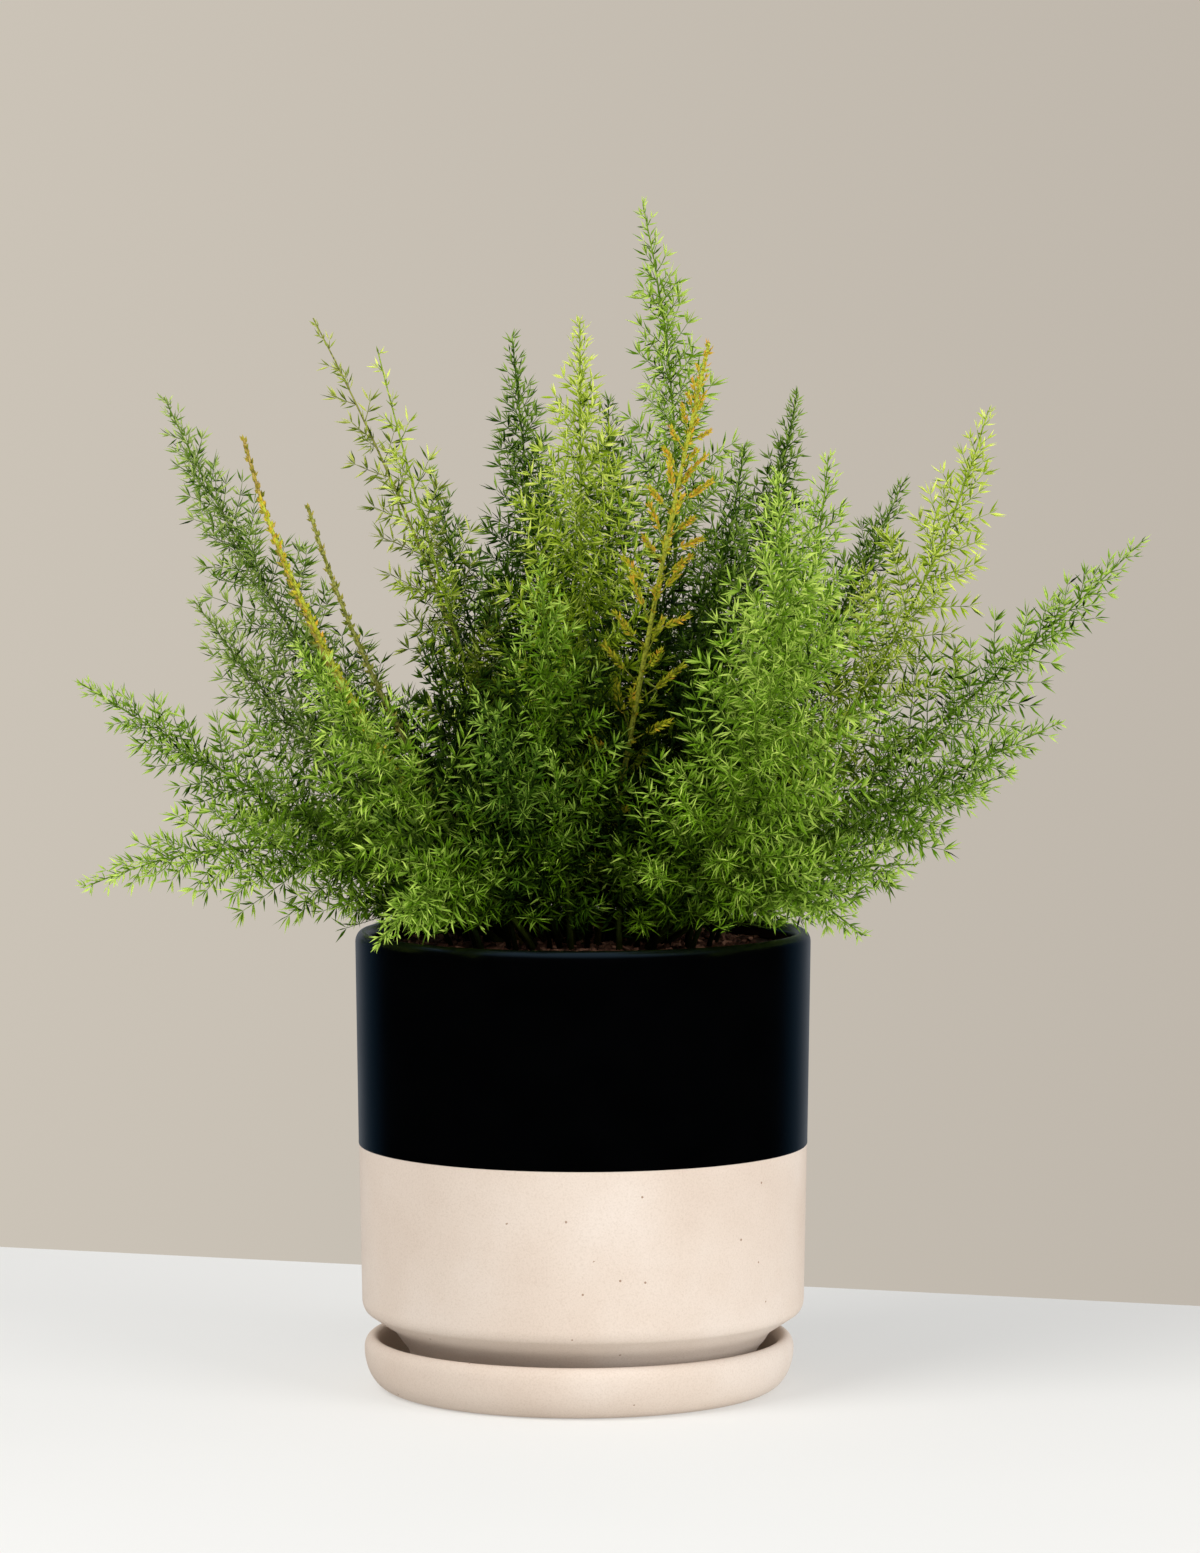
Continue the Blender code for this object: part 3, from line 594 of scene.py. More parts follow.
def stem_curve(lean, reach, height, bow, base):
    """Foot, middle handle and tip of a stem's curve, and the level direction across it."""
    angle = math.radians(lean)
    out = np.array((math.cos(angle), math.sin(angle), 0.0))
    up = np.array((0.0, 0.0, 1.0))
    foot = out * base + up * (SOIL_TOP + SOIL_MOUND * (1 - base / POT_RADIUS))
    tip = out * reach + up * height
    chord = unit(tip - foot)
    belly = unit(out - out.dot(chord) * chord)
    return foot, (foot + tip) / 2 + belly * 2 * bow, tip, np.array((-out[1], out[0], 0.0))


def on_curve(start, handle, end, share):
    """Points and directions on a curve, from 0 at its start to 1 at its end."""
    share = share[..., None]
    points = (1 - share) ** 2 * start + 2 * share * (1 - share) * handle + share**2 * end
    return points, unit((1 - share) * (handle - start) + share * (end - handle))


def around(along, across):
    """Two directions at right angles to each direction along."""
    over = unit(np.cross(along, across))
    return np.cross(over, along), over


print("shoots:", len(SHOOTS))

# %% [markdown]
# ## Needles and twigs by the thousand
# The bush has about 136 thousand needles. One object each would choke Blender, and a loop in Python
# over every corner would be slow, so the needles of a plume are worked out all at once as arrays. A needle
# of this plant is flat with a keel along its back, and four corners are enough for that: its root, its
# point, and two corners where it is widest, a little below the line of the keel. A twig is a three-sided
# tube. Both are closed, so the plume is real geometry from every side and needs no cut-out picture.

# %% Arrays of needles and tubes
WIDEST_AT = 0.42
KEEL = 0.35
NEEDLE_SHADES = np.array((-0.12, 0.0, 0.0, 0.08))


def needles(roots, headings, lengths, widths, across, tones):
    """Keeled needles: corners, triangles and a shade for each corner."""
    side, over = around(headings, across)
    middle = roots + headings * (lengths * WIDEST_AT)[:, None]
    half = side * (widths / 2)[:, None]
    drop = over * (widths * KEEL)[:, None]
    corners = (roots, middle - half - drop, middle + half - drop, roots + headings * lengths[:, None])
    points = np.stack(corners, axis=1).reshape(-1, 3)
    pattern = np.array([(0, 1, 3), (0, 3, 2), (0, 2, 1), (1, 2, 3)])
    faces = (np.arange(len(roots))[:, None, None] * 4 + pattern).reshape(-1, 3)
    shades = tones[:, None] + NEEDLE_SHADES
    return points, faces, shades.ravel()


def tubes(points, along, radii, across, sides, tones):
    """Tapering tubes of k rings each: corners, triangles and a shade for each corner."""
    side, over = around(along, across)
    angles = np.arange(sides) * math.tau / sides
    ring = np.cos(angles)[:, None] * side[:, :, None] + np.sin(angles)[:, None] * over[:, :, None]
    corners = points[:, :, None] + radii[:, :, None, None] * ring
    count, rings = points.shape[:2]
    index = np.arange(count * rings * sides).reshape(count, rings, sides)
    low, high = index[:, :-1], index[:, 1:]
    next_low, next_high = np.roll(low, -1, axis=2), np.roll(high, -1, axis=2)
    faces = [np.stack((low, next_low, next_high), -1), np.stack((low, next_high, high), -1)]
    for corner in range(1, sides - 1):
        faces.append(index[:, 0, [0, corner + 1, corner]])
        faces.append(index[:, -1, [0, corner, corner + 1]])
    shades = np.repeat(tones * np.ones((count, rings)), sides)
    return corners.reshape(-1, 3), np.concatenate([part.reshape(-1, 3) for part in faces]), shades


# %% [markdown]
# ## Where nothing grows
# Nothing may grow through the pot or into the soil, so every twig and needle is tested at a few places, and
# left out if one of them is too near. Behind the front lip the lowest needles have also been shed in two
# spots, given as a middle and a half width along X, and there the brown soil shows.

# %% Keep clear of the pot
TWIG_SPARE = 0.0015
NEEDLE_SPARE = 0.0006
BARE_SPOTS = ((-0.042, 0.022), (0.070, 0.026))
SHED_HEIGHT = 0.2125
SHED_RADIUS = POT_RADIUS + 0.01


def clear_of_pot(points, spare):
    """Whether points keep out of the pot's wall, of the soil and of the bare spots."""
    out = np.hypot(points[..., 0], points[..., 1])
    low = points[..., 2]
    in_wall = (abs(out - POT_RADIUS + POT_WALL / 2) < POT_WALL / 2 + spare) & (low < POT_HEIGHT + spare)
    in_soil = (out < POT_RADIUS - POT_WALL) & (low < SOIL_TOP + SOIL_MOUND + spare)
    bare = sum(abs(points[..., 0] - middle) < half for middle, half in BARE_SPOTS) > 0
    shed = bare & (points[..., 1] < 0) & (out < SHED_RADIUS) & (low < SHED_HEIGHT)
    return ~(in_wall | in_soil | shed)


# %% [markdown]
# ## Habits
# Growth follows habits, and the four kinds of shoot here differ only in numbers. A full plume has long side
# shoots with open needles. A young plume is shorter, with fewer and broader ones. The gold shoot has short
# side shoots, with buds pressed to their outer two thirds. A spear is a stem that has only just come up: it
# has no side shoots yet, but tight buds up to its point.
#
# A habit says how much of the stem is bare, how far apart side shoots start and how they crowd towards the
# tip, their angles at the tip and lower down, and how far below the tip they are full grown. Then come the
# gap between bundles of needles, the size of a bundle, and a needle's length, width and slant. The rest is
# how far the youngest needles are closed, the bare share of a side shoot, the radii of stem and twig, and
# how many needles sit at each fork. Three plumes come to a longer point than the rest.

# %% Habits
HABITS = {
    "plume": dict(
        bare=0.06, gap=0.0028, crowd=0.92, angles=(42, 58), taper=0.120, node_gap=0.0034,
        bundle=(4, 7), needle=0.0091, width=0.00110, slant=60, closed=0.35, stalk=0.0,
        stem=(0.0016, 0.00028), twig=0.00032, buds=3,
    ),
    "young": dict(
        bare=0.08, gap=0.0046, crowd=1.0, angles=(40, 64), taper=0.080, node_gap=0.0044,
        bundle=(5, 8), needle=0.0100, width=0.00150, slant=60, closed=0.35, stalk=0.0,
        stem=(0.0013, 0.0004), twig=0.00034, buds=3,
    ),
    "shoot": dict(
        bare=0.14, gap=0.0052, crowd=0.58, angles=(24, 50), taper=0.080, node_gap=0.0019,
        bundle=(3, 6), needle=0.0042, width=0.00120, slant=30, closed=0.0, stalk=0.35,
        stem=(0.0018, 0.0008), twig=0.00042, buds=7,
    ),
    "spear": dict(
        bare=0.10, gap=0.0019, crowd=1.0, angles=(24, 34), taper=0.10,
        needle=0.0046, width=0.00170, slant=20, closed=0.0, stem=(0.0017, 0.0008), buds=4,
    ),
}
TAPER = {"plume_tallest": 0.165, "plume_left_sparse": 0.165, "plume_right_long": 0.150}
print("habits:", ", ".join(HABITS))

# %% [markdown]
# ## Side shoots
# The side shoots of a stem are worked out together: where each starts on the stem, which way it heads, how
# long it is, and where it ends after bending a little towards the stem's tip. A plant is never quite
# regular, so each of these is shaken: the place by a part of the gap, the roll round the stem in radians,
# the lean in degrees, the length as a share. The plume also has a slight belly, at a third of its height.

# %% Side shoots
GOLDEN_ANGLE = math.radians(137.5)
TWIG_PLACE = (0.2, 0.8)
TWIG_ROLL = 0.22
TWIG_LEAN = 6.0
TWIG_REACH = (0.74, 1.02)
TWIG_BEND = (0.10, 0.08)
SHORTEST_TWIG = 0.03
SLIM = 0.92
BELLY = 0.14
BELLY_END = 0.7


def grow_twigs(curve, habit, sprig, fullness, taper, rng):
    """Where the side shoots of a stem start, bend and end, and how near the stem's tip they are."""
    foot, handle, tip, across = curve
    length = np.linalg.norm(handle - foot) + np.linalg.norm(tip - handle)
    count = int(length * (1 - habit["bare"]) / habit["gap"] * fullness)
    even = (np.arange(count) + rng.uniform(*TWIG_PLACE, count)) / count
    share = habit["bare"] + (1 - habit["bare"]) * even ** habit["crowd"]
    points, along = on_curve(foot, handle, tip, share)
    side, over = around(along, across)
    turn = rng.uniform(0, math.tau) + np.arange(count) * GOLDEN_ANGLE + rng.normal(0, TWIG_ROLL, count)
    outward = np.cos(turn)[:, None] * side + np.sin(turn)[:, None] * over
    below = (1 - share) * length
    body = np.clip(below / taper, 0, 1)
    lean = np.radians(np.interp(body, (0, 1), habit["angles"]) + rng.normal(0, TWIG_LEAN, count))
    heading = np.cos(lean)[:, None] * along + np.sin(lean)[:, None] * outward
    belly = SLIM + BELLY * np.sin(math.pi * np.clip(share / BELLY_END, 0, 1))
    grown = SHORTEST_TWIG + (1 - SHORTEST_TWIG) * body
    reach = sprig * grown * belly * rng.uniform(*TWIG_REACH, count)
    bend = points + heading * (reach * 0.5)[:, None]
    ends = points + heading * reach[:, None] + along * (reach * rng.normal(*TWIG_BEND, count))[:, None]
    return points, bend, ends, reach, share, below, heading


# %% [markdown]
# ## Bundles of needles
# Further down a plume the bundles stand a little wider apart, and their needles are more, longer and more
# open, like a fan. Towards the point of a side shoot they close up, and at the tip of the stem they are
# young: shorter, slimmer and not yet open. A needle's shade adds up from painted shade, darker near the
# middle of the bush and low down, and from how high on the stem, how far out on its side shoot and how young
# it is, with a good deal of luck.

# %% Needles on their twigs
FAN_DEPTH = 0.130
FAN_GAP = 0.5
FAN_BUNDLE = 0.6
FAN_SLANT = (0.76, 0.30)
FAN_LENGTH = (0.80, 0.20)
SHORT_TWIG = 0.008
SHORT_TWIG_BUNDLE = 0.6
CLOSES_AT = 0.75
CLOSED_SLANT = 0.30
YOUNG_TIP = 0.045
YOUNG_WIDTH = 0.25
# Painted shade: needles near the middle of the bush and low down are given darker tones.
PAINTED_SHADE_TOP = 0.34
PAINTED_SHADE_DEPTH = 0.12
DARKEST = 0.02
PAINTED_SHADE_WEIGHT = 0.24
STEM_SHADE = 0.32
TWIG_SHADE = 0.21
YOUTH_SHADE = 0.12
SHADE_SPREAD = 0.21
NEEDLE_ROLL = 0.45
NEEDLE_SLANT = 8.0
NEEDLE_REACH = (0.75, 1.10)
NEEDLE_WIDTH = (0.8, 1.1)
NEEDLE_TESTS = np.array((0.0, 0.5, 1.0))
NEEDLE_TIP_OVER = 0.3


def twig_bundles(starts, bends, ends, lengths, share, below, habit, rng):
    """The places along side shoots where needles sit together."""
    fan = np.clip(below / FAN_DEPTH, 0, 1)
    counts = np.maximum(1, np.round(lengths / (habit["node_gap"] * (1 + FAN_GAP * fan)))).astype(int)
    owner = np.repeat(np.arange(len(starts)), counts)
    order = np.arange(len(owner)) - np.repeat(np.cumsum(counts) - counts, counts)
    place = habit["stalk"] + (1 - habit["stalk"]) * (order + 1.0) / counts[owner]
    points, along = on_curve(starts[owner], bends[owner], ends[owner], place)
    size = rng.integers(*habit["bundle"], len(owner)) * (1 + FAN_BUNDLE * fan[owner])
    size = np.round(size * np.clip(lengths[owner] / SHORT_TWIG, SHORT_TWIG_BUNDLE, 1)).astype(int)
    return points, along, share[owner], below[owner], place, size


def needle_tones(roots, share, place, youth, rng):
    """The shade of each needle, from dark and old to light and young, with painted shade near the middle of
    the bush and low down.
    """
    out = np.hypot(roots[:, 0], roots[:, 1])
    # painted shade, darker the nearer the needle is to the middle of the bush and the lower it sits
    light = np.clip((out + np.maximum(0, roots[:, 2] - PAINTED_SHADE_TOP)) / PAINTED_SHADE_DEPTH, 0, 1)
    tones = DARKEST + PAINTED_SHADE_WEIGHT * light + STEM_SHADE * share + TWIG_SHADE * place + YOUTH_SHADE * youth
    return tones + rng.normal(0, SHADE_SPREAD, len(roots))


def grow_needles(points, along, share, below, place, size, habit, across, rng):
    """Spread bundles of needles round the twigs, more closed towards their points."""
    owner = np.repeat(np.arange(len(points)), size)
    order = np.arange(len(owner)) - np.repeat(np.cumsum(size) - size, size)
    count = len(owner)
    side, over = around(along, across)
    turn = owner * GOLDEN_ANGLE + order * math.tau / size[owner] + rng.normal(0, NEEDLE_ROLL, count)
    outward = np.cos(turn)[:, None] * side[owner] + np.sin(turn)[:, None] * over[owner]
    closing = np.clip((place[owner] - CLOSES_AT) / (1 - CLOSES_AT), 0, 1)
    youth = 1 - np.clip(below[owner] / YOUNG_TIP, 0, 1)
    fan = np.clip(below[owner] / FAN_DEPTH, 0, 1)
    opened = 1 - habit["closed"] * youth
    slant = habit["slant"] * (FAN_SLANT[0] + FAN_SLANT[1] * fan) * (1 - CLOSED_SLANT * closing) * opened
    slant = np.radians(slant + rng.normal(0, NEEDLE_SLANT, count))
    headings = unit(np.cos(slant)[:, None] * along[owner] + np.sin(slant)[:, None] * outward)
    lengths = habit["needle"] * rng.uniform(*NEEDLE_REACH, count) * (FAN_LENGTH[0] + FAN_LENGTH[1] * fan)
    lengths = lengths * opened
    roots = points[owner]
    tones = needle_tones(roots, share[owner], place[owner], youth, rng)
    tested = roots[:, None] + headings[:, None] * (lengths[:, None] * NEEDLE_TESTS)[..., None]
    free = clear_of_pot(tested, NEEDLE_SPARE).all(axis=1)
    widths = habit["width"] * (1 - YOUNG_WIDTH * youth) * rng.uniform(*NEEDLE_WIDTH, count)
    kept = [part[free] for part in (roots, headings, lengths, widths)]
    return needles(*kept, unit(outward[free] + along[owner][free] * NEEDLE_TIP_OVER), tones[free])


# %% [markdown]
# ## One whole shoot
# Here the parts come together: the stem as a tapering tube, the side shoots that keep clear of the pot as
# thinner ones, and needles both at the forks and along the side shoots. Each part comes with the number of
# its finish, 0 for needles and 1 for bark. Each shoot draws from its own seeded dice, so a change to one
# never moves the others.

# %% Grow a shoot
SHOOT_SEED = 17
STEM_RINGS = np.linspace(0, 1, 15)[None]
STEM_SIDES = 6
STEM_THINNING = 1.3
TWIG_RINGS = np.array((0.0, 0.35, 0.7, 1.0))
TWIG_SIDES = 3
TWIG_THINNING = 0.55
TWIG_TESTS = np.linspace(0.2, 1, 5)[None]
SHORTEST_SPRIG = 0.001
FORK_PLACE = 0.2


def grow_shoot(name, lean, reach, height, bow, base, sprig, fullness):
    """All corners, triangles, shades and finish numbers of one shoot."""
    habit = HABITS[name.split("_")[0]]
    rng = np.random.default_rng([SHOOT_SEED, len(name), *map(ord, name)])
    curve = stem_curve(lean, reach, height, bow, base)
    spine, along = on_curve(*curve[:3], STEM_RINGS)
    thick, thin = habit["stem"]
    radii = thin + (thick - thin) * (1 - STEM_RINGS) ** STEM_THINNING
    # the stem's tones run from its foot to its tip, and its finish paints it darker near the soil, partly
    # painted shade
    parts = [(tubes(spine, along, radii, curve[3], STEM_SIDES, STEM_RINGS), 1)]
    form = (max(sprig, SHORTEST_SPRIG), fullness, TAPER.get(name, habit["taper"]))
    starts, bends, ends, lengths, share, below, heading = grow_twigs(curve, habit, *form, rng)
    forks = len(starts)
    bundles = [(starts, heading, share, below, np.full(forks, FORK_PLACE), np.full(forks, habit["buds"]))]
    if sprig:
        tested, _ = on_curve(starts[:, None], bends[:, None], ends[:, None], TWIG_TESTS)
        free = clear_of_pot(tested, TWIG_SPARE).all(axis=1)
        starts, bends, ends, lengths = (part[free] for part in (starts, bends, ends, lengths))
        share, below = share[free], below[free]
        points, along = on_curve(starts[:, None], bends[:, None], ends[:, None], TWIG_RINGS[None])
        radii = habit["twig"] * (1 - TWIG_THINNING * TWIG_RINGS) * np.ones((len(starts), 1))
        parts.append((tubes(points, along, radii, curve[3], TWIG_SIDES, share[:, None]), 1))
        bundles.append(twig_bundles(starts, bends, ends, lengths, share, below, habit, rng))
    for bundle in bundles:
        parts.append((grow_needles(*bundle, habit, curve[3], rng), 0))
    return parts


# %% [markdown]
# ## Leaf green
# Needles of one plume share a tint, but no two look alike: old needles low on the stem are deep green,
# needles near the middle and foot of the bush are darker still with painted shade, and the youngest, at
# the tips, are almost yellow. Each corner carries its shade from 0 to 1 as an attribute, and a ramp turns
# that into three greens, so the pattern belongs to the plant and stays on it from every side. A needle has a
# thin waxy skin, so it is half matt and shines very little. Bark is smooth and green too, with small pale
# flecks, and towards the soil it gets old and much darker, partly old bark and partly painted shade. A tint
# is four colours, in thousandths of red, green and blue: three for needles from old to young, and one for
# bark. The dark and shade tints are darker copies of the greens: painted shade for shoots that stand in
# shade.

# %% Leaf finishes
TINTS = {
    "fresh": ((8, 26, 1), (140, 285, 8), (530, 690, 130), (150, 260, 20)),
    "green": ((5, 18, 1), (105, 230, 5), (430, 600, 100), (110, 200, 14)),
    "grey": ((10, 28, 2), (110, 215, 14), (420, 530, 140), (130, 200, 30)),
    # The dark and shade tints are darker copies of the greens: painted shade for shoots that stand in shade.
    "dark": ((3, 10, 1), (38, 100, 3), (240, 370, 50), (40, 85, 8)),
    "shade": ((1, 3, 1), (8, 24, 1), (60, 120, 6), (20, 40, 4)),
    "lime": ((20, 55, 1), (280, 410, 12), (690, 780, 160), (240, 350, 25)),
    "olive": ((25, 48, 3), (180, 250, 18), (540, 590, 130), (240, 250, 45)),
    "gold": ((160, 200, 4), (460, 470, 25), (610, 330, 30), (400, 430, 40)),
    "rust": ((70, 85, 8), (280, 270, 24), (440, 310, 50), (380, 280, 70)),
    "moss": ((60, 80, 8), (210, 240, 28), (380, 320, 60), (260, 270, 60)),
}
LEAF_AGE_AND_SHADE_STOPS = (0.12, 0.50, 0.95)
PATCH_SIZE = 0.012
PATCH_DRIFT = (-0.12, 0.12)
# Bark darkens towards the soil: partly old bark, partly painted shade.
STEM_AGE_AND_SHADE = [(0.05, (0.10, 0.07, 0.05)), (0.40, (0.60, 0.60, 0.60)), (0.80, (1.0, 1.0, 1.0))]
FLECK_SIZE = 0.0012
FLECK_DARK = 0.45
FLECK_LIGHT = 1.25


def make_leaf(tint, shades):
    """Needles that run from old to young along the attribute, darker where it carries painted shade."""
    finish, tree, shader, spot = new_finish("leaf_" + tint)
    drift = rescale(tree, grain(tree, spot, PATCH_SIZE, detail=1.0), after=PATCH_DRIFT)
    age_and_shade = reckon(tree, "ADD", tone_of(tree), drift)
    coat(tree, shader, ramp(tree, age_and_shade, list(zip(LEAF_AGE_AND_SHADE_STOPS, shades))), roughness=0.5, specular=0.12)
    return finish


def make_stem(tint, colour):
    """Smooth green bark with small pale flecks, old and darker near the soil, partly painted shade."""
    finish, tree, shader, spot = new_finish("stem_" + tint)
    flecks = grain(tree, spot, FLECK_SIZE, detail=3.0)
    shade = tuple(channel * FLECK_DARK for channel in colour)
    light = tuple(min(1.0, channel * FLECK_LIGHT) for channel in colour)
    bark = ramp(tree, flecks, [(0.35, shade), (0.5, colour), (0.7, light)])
    aged_and_shaded = blend(tree, 1.0, bark, ramp(tree, tone_of(tree), STEM_AGE_AND_SHADE), "MULTIPLY")
    flecked = bump(tree, flecks, distance=0.0002, strength=0.4)
    coat(tree, shader, aged_and_shaded, roughness=0.55, specular=0.15, normal=flecked)
    return finish


colours = {tint: [tuple(part / 1000 for part in row) for row in rows] for tint, rows in TINTS.items()}
leaves = {tint: make_leaf(tint, rows[:3]) for tint, rows in colours.items()}
stems = {tint: make_stem(tint, rows[3]) for tint, rows in colours.items()}
print("leaf finishes:", ", ".join(leaves))

# %% [markdown]
# ## Planting
# Every shoot becomes one object with two finishes, needles and stem, and takes the place of its plain node
# in the frame. The arrays of its parts are put end to end, with their corner numbers shifted along.
#
# Between the big shoots stand a few dozen short young ones. They close the heart of the bush, make it dark,
# and stand for no node. Their needles carry painted shade too: the shade tint near the heart, the dark tint
# further out. Pairs of numbers give a size at the heart, and how much it changes out to the rim. None grows
# where it would hide the foot of the gold shoot.

# %% Plant every shoot
YOUNG_COUNT = 46
YOUNG_SEED = 5
YOUNG_BASE = (0.010, 0.054)
YOUNG_REACH = (0.020, 0.045)
YOUNG_HEIGHT = (0.385, -0.125)
YOUNG_LUCK = 0.02
YOUNG_BOW = -0.01
YOUNG_SPRIG = 0.036
DEEP_SHADE = 0.75
OPEN_SIDE = -90
OPEN_WIDTH = 40
OPEN_REACH = 0.075
SLOTS = {"gold": "shoot_gold", "rust": "spear_rust", "moss": "spear_moss", "shade": "leaf_dark"}


def plant(row):
    """Make one shoot's object."""
    name, tint, *form = row
    points, faces, shades, finish_numbers = [], [], [], []
    total = 0
    for (part_points, part_faces, part_shades), finish_number in grow_shoot(name, *form):
        points.append(part_points)
        faces.append(part_faces + total)
        shades.append(part_shades)
        finish_numbers.append(np.full(len(part_faces), finish_number, np.int32))
        total += len(part_points)
    mesh = bpy.data.meshes.new(name)
    mesh.from_pydata(np.concatenate(points).tolist(), [], np.concatenate(faces).tolist())
    set_tones(mesh, np.concatenate(shades).clip(0, 1))
    nodes = [name] if row in SHOOTS else []
    slot = SLOTS.get(tint, "leaf_" + tint)
    piece = add_piece(name + "_leaves", mesh, [leaves[tint], stems[tint]], slot, *nodes)
    bark = np.concatenate(finish_numbers)
    mesh.polygons.foreach_set("material_index", bark)
    mesh.polygons.foreach_set("use_smooth", bark.astype(bool))
    return piece


def young_shoot(index):
    """One of the young shoots that fill the middle of the bush, taller towards its heart."""
    rng = np.random.default_rng([YOUNG_SEED, index])
    out = math.sqrt((index + 0.5) / YOUNG_COUNT)
    base = YOUNG_BASE[0] + YOUNG_BASE[1] * out
    reach = base + YOUNG_REACH[0] + YOUNG_REACH[1] * out
    height = YOUNG_HEIGHT[0] + YOUNG_HEIGHT[1] * out + rng.uniform(-YOUNG_LUCK, YOUNG_LUCK)
    # Painted shade: young shoots near the heart take the darkest tint, the rest the dark one.
    tint = "shade" if out < DEEP_SHADE else "dark"
    lean = math.degrees(index * GOLDEN_ANGLE)
    return f"young_{index:02d}", tint, lean, reach, height, YOUNG_BOW * out, base, YOUNG_SPRIG, 1.0


def hides_gold(row):
    """Whether a young shoot would stand in front of the gold one."""
    lean, reach = row[2:4]
    aside = abs((lean - OPEN_SIDE + 180) % 360 - 180)
    return reach > OPEN_REACH and aside < OPEN_WIDTH


young = [row for row in map(young_shoot, range(YOUNG_COUNT)) if not hides_gold(row)]
bush = [plant(row) for row in SHOOTS + young]
faces_each = {piece.name: len(piece.data.polygons) for piece in bush}
print("triangles in the bush:", sum(faces_each.values()), "most in one:", max(faces_each.values()))

# %% [markdown]
# ## A pale tabletop
# The pot stands on a pale slab whose far edge runs askew behind the plant. The slab glows a little by itself,
# which keeps it pale without a lamp so strong that it would burn out the clay. Glossy rays pass it by, or it
# would lie as a white band in the black glaze.

# %% Tabletop
TABLE_BACK_LEFT = (-0.306, 0.410)
TABLE_BACK_RIGHT = (0.302, 0.2186)
TABLE_WIDTH = 2.4
TABLE_DEPTH = 1.5
TABLE_THICKNESS = 0.03
PALES = [(0.3, (0.46, 0.458, 0.448)), (0.7, (0.48, 0.478, 0.468))]
PALE_CLOUD = 0.4
TABLE_GLOW = 0.37
TABLE_GLOW_COLOUR = (1.0, 0.99, 0.96, 1.0)


def make_pale():
    """Matt and nearly even, with a glow of its own."""
    finish, tree, shader, spot = new_finish("pale_tabletop")
    coat(tree, shader, ramp(tree, grain(tree, spot, PALE_CLOUD), PALES), roughness=0.9, specular=0.1)
    set_sockets(tree, shader, {"Emission Color": TABLE_GLOW_COLOUR, "Emission Strength": TABLE_GLOW})
    return finish


def make_tabletop():
    """A pale slab whose back edge runs through two measured places."""
    left, right = Vector((*TABLE_BACK_LEFT, 0)), Vector((*TABLE_BACK_RIGHT, 0))
    sideways = (right - left).normalized()
    forward = Vector((sideways.y, -sideways.x, 0))
    middle = (left + right) / 2
    bm = bmesh.new()
    back = [middle - sideways * TABLE_WIDTH / 2, middle + sideways * TABLE_WIDTH / 2]
    corners = back + [point + forward * TABLE_DEPTH for point in reversed(back)]
    top = bm.faces.new([bm.verts.new(corner) for corner in corners])
    grown = bmesh.ops.extrude_face_region(bm, geom=[top])
    lower = [item for item in grown["geom"] if isinstance(item, bmesh.types.BMVert)]
    bmesh.ops.translate(bm, verts=lower, vec=(0, 0, -TABLE_THICKNESS))
    bmesh.ops.recalc_face_normals(bm, faces=bm.faces)
    mesh = bpy.data.meshes.new("tabletop")
    bm.to_mesh(mesh)
    bm.free()
    mesh.materials.append(make_pale())
    table = bpy.data.objects.new("tabletop", mesh)
    bpy.context.scene.collection.objects.link(table)
    table.visible_glossy = False
    return table


tabletop = make_tabletop()
print("tabletop:", [round(side, 2) for side in tabletop.dimensions], "m")

# %% [markdown]
# ## Backdrop and reflections
# Past the slab there is only a warm grey. A paper wall would get in the way when the camera walks round the
# plant, so the grey is the world's colour, a shade lighter on the left as in a real sweep. The world answers
# each kind of ray in its own way. The camera sees that warm grey. The glaze mirrors a dim blue room, brighter
# far behind the pot and overhead, and that draws the cool edges on the black. Every other ray meets an even,
# soft light.

# %% Backdrop and reflections
SWEEP = [(0.0, (0.597, 0.546, 0.473)), (1.0, (0.521, 0.474, 0.412))]
SWEEP_SPAN = (-0.11, 0.11)
FAR_WALL = [
    (0.15, (0.0, 0.0, 0.0)), (0.50, (0.015, 0.043, 0.077)),
    (0.67, (0.045, 0.080, 0.120)), (0.95, (0.25, 0.27, 0.30)),
]
FAR_SPAN = (0.4, 1.0)
CEILING = (0.30, 0.50, 0.70, 1.0)
CEILING_SPAN = (0.55, 0.85)
SOFT_LIGHT = (0.50, 0.50, 0.51, 1.0)


def glow(tree, colour):
    """A background shader of one colour, or of the colours that a node gives."""
    return add_node(tree, "ShaderNodeBackground", {"Color": colour}).outputs["Background"]


def choose(tree, factor, otherwise, where):
    """One shader where the factor is one, the other elsewhere."""
    return add_node(tree, "ShaderNodeMixShader", {0: factor, 1: otherwise, 2: where}).outputs[0]


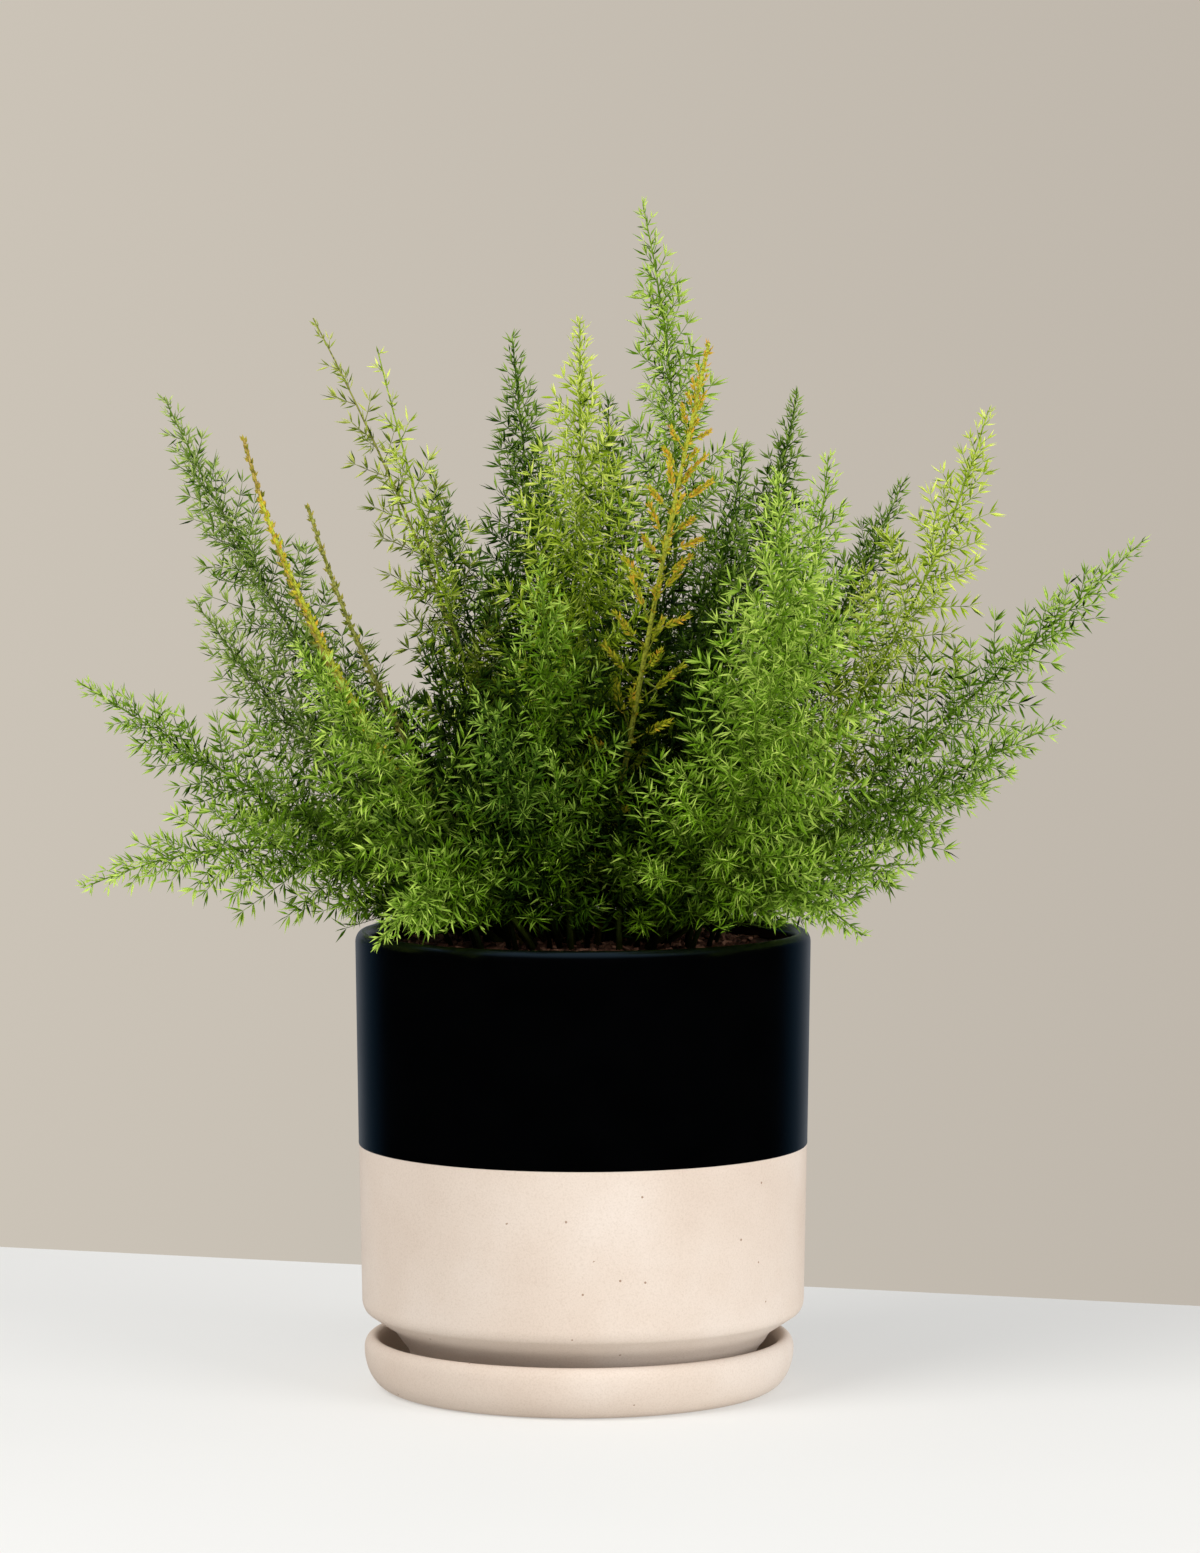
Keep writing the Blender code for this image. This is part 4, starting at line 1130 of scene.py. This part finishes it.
def make_world():
    """Warm grey behind the plant, soft light from all round, and a dim blue room in the glaze."""
    world = bpy.data.worlds.new("studio")
    world.use_nodes = True
    bpy.context.scene.world = world
    tree = world.node_tree
    way = add_node(tree, "ShaderNodeTexCoord").outputs["Generated"]
    axes = add_node(tree, "ShaderNodeSeparateXYZ", {"Vector": way}).outputs
    sweep = ramp(tree, rescale(tree, axes["X"], before=SWEEP_SPAN), SWEEP)
    walls = ramp(tree, rescale(tree, axes["Y"], before=FAR_SPAN), FAR_WALL)
    room = blend(tree, rescale(tree, axes["Z"], before=CEILING_SPAN), walls, CEILING)
    rays = add_node(tree, "ShaderNodeLightPath").outputs
    lit = choose(tree, rays["Is Glossy Ray"], glow(tree, SOFT_LIGHT), glow(tree, room))
    seen = choose(tree, rays["Is Camera Ray"], lit, glow(tree, sweep))
    tree.links.new(seen, tree.nodes["World Output"].inputs["Surface"])
    return world


world = make_world()
bpy.context.scene.view_settings.view_transform = "Standard"
print("world:", world.name, "with", len(world.node_tree.nodes), "nodes")

# %% [markdown]
# ## Light
# The shadow falls softly to the right, so the main light is a big box high on the left, towards the camera.
# A second box, almost as strong, stands low on the right: it opens the far side of the pot and thins the
# shadow. Neither box shows in the glaze.

# %% Lamps
AIM = (0.0, 0.0, 0.22)


def make_lamp(name, stands_at, size, power, colour):
    """A square area light that faces the plant."""
    data = bpy.data.lights.new(name, "AREA")
    data.size = size
    data.energy = power
    data.color = colour
    lamp = bpy.data.objects.new(name, data)
    lamp.location = stands_at
    towards = Vector(AIM) - Vector(stands_at)
    lamp.rotation_euler = towards.to_track_quat("-Z", "Y").to_euler()
    lamp.visible_glossy = False
    bpy.context.scene.collection.objects.link(lamp)
    return lamp


key = make_lamp("key", stands_at=(-1.5, -1.4, 1.9), size=1.6, power=53.0, colour=(1.0, 0.99, 0.97))
fill = make_lamp("fill", stands_at=(1.9, -1.6, 0.7), size=1.5, power=50.0, colour=(1.0, 0.99, 0.98))
print("lamps:", key.name, fill.name)
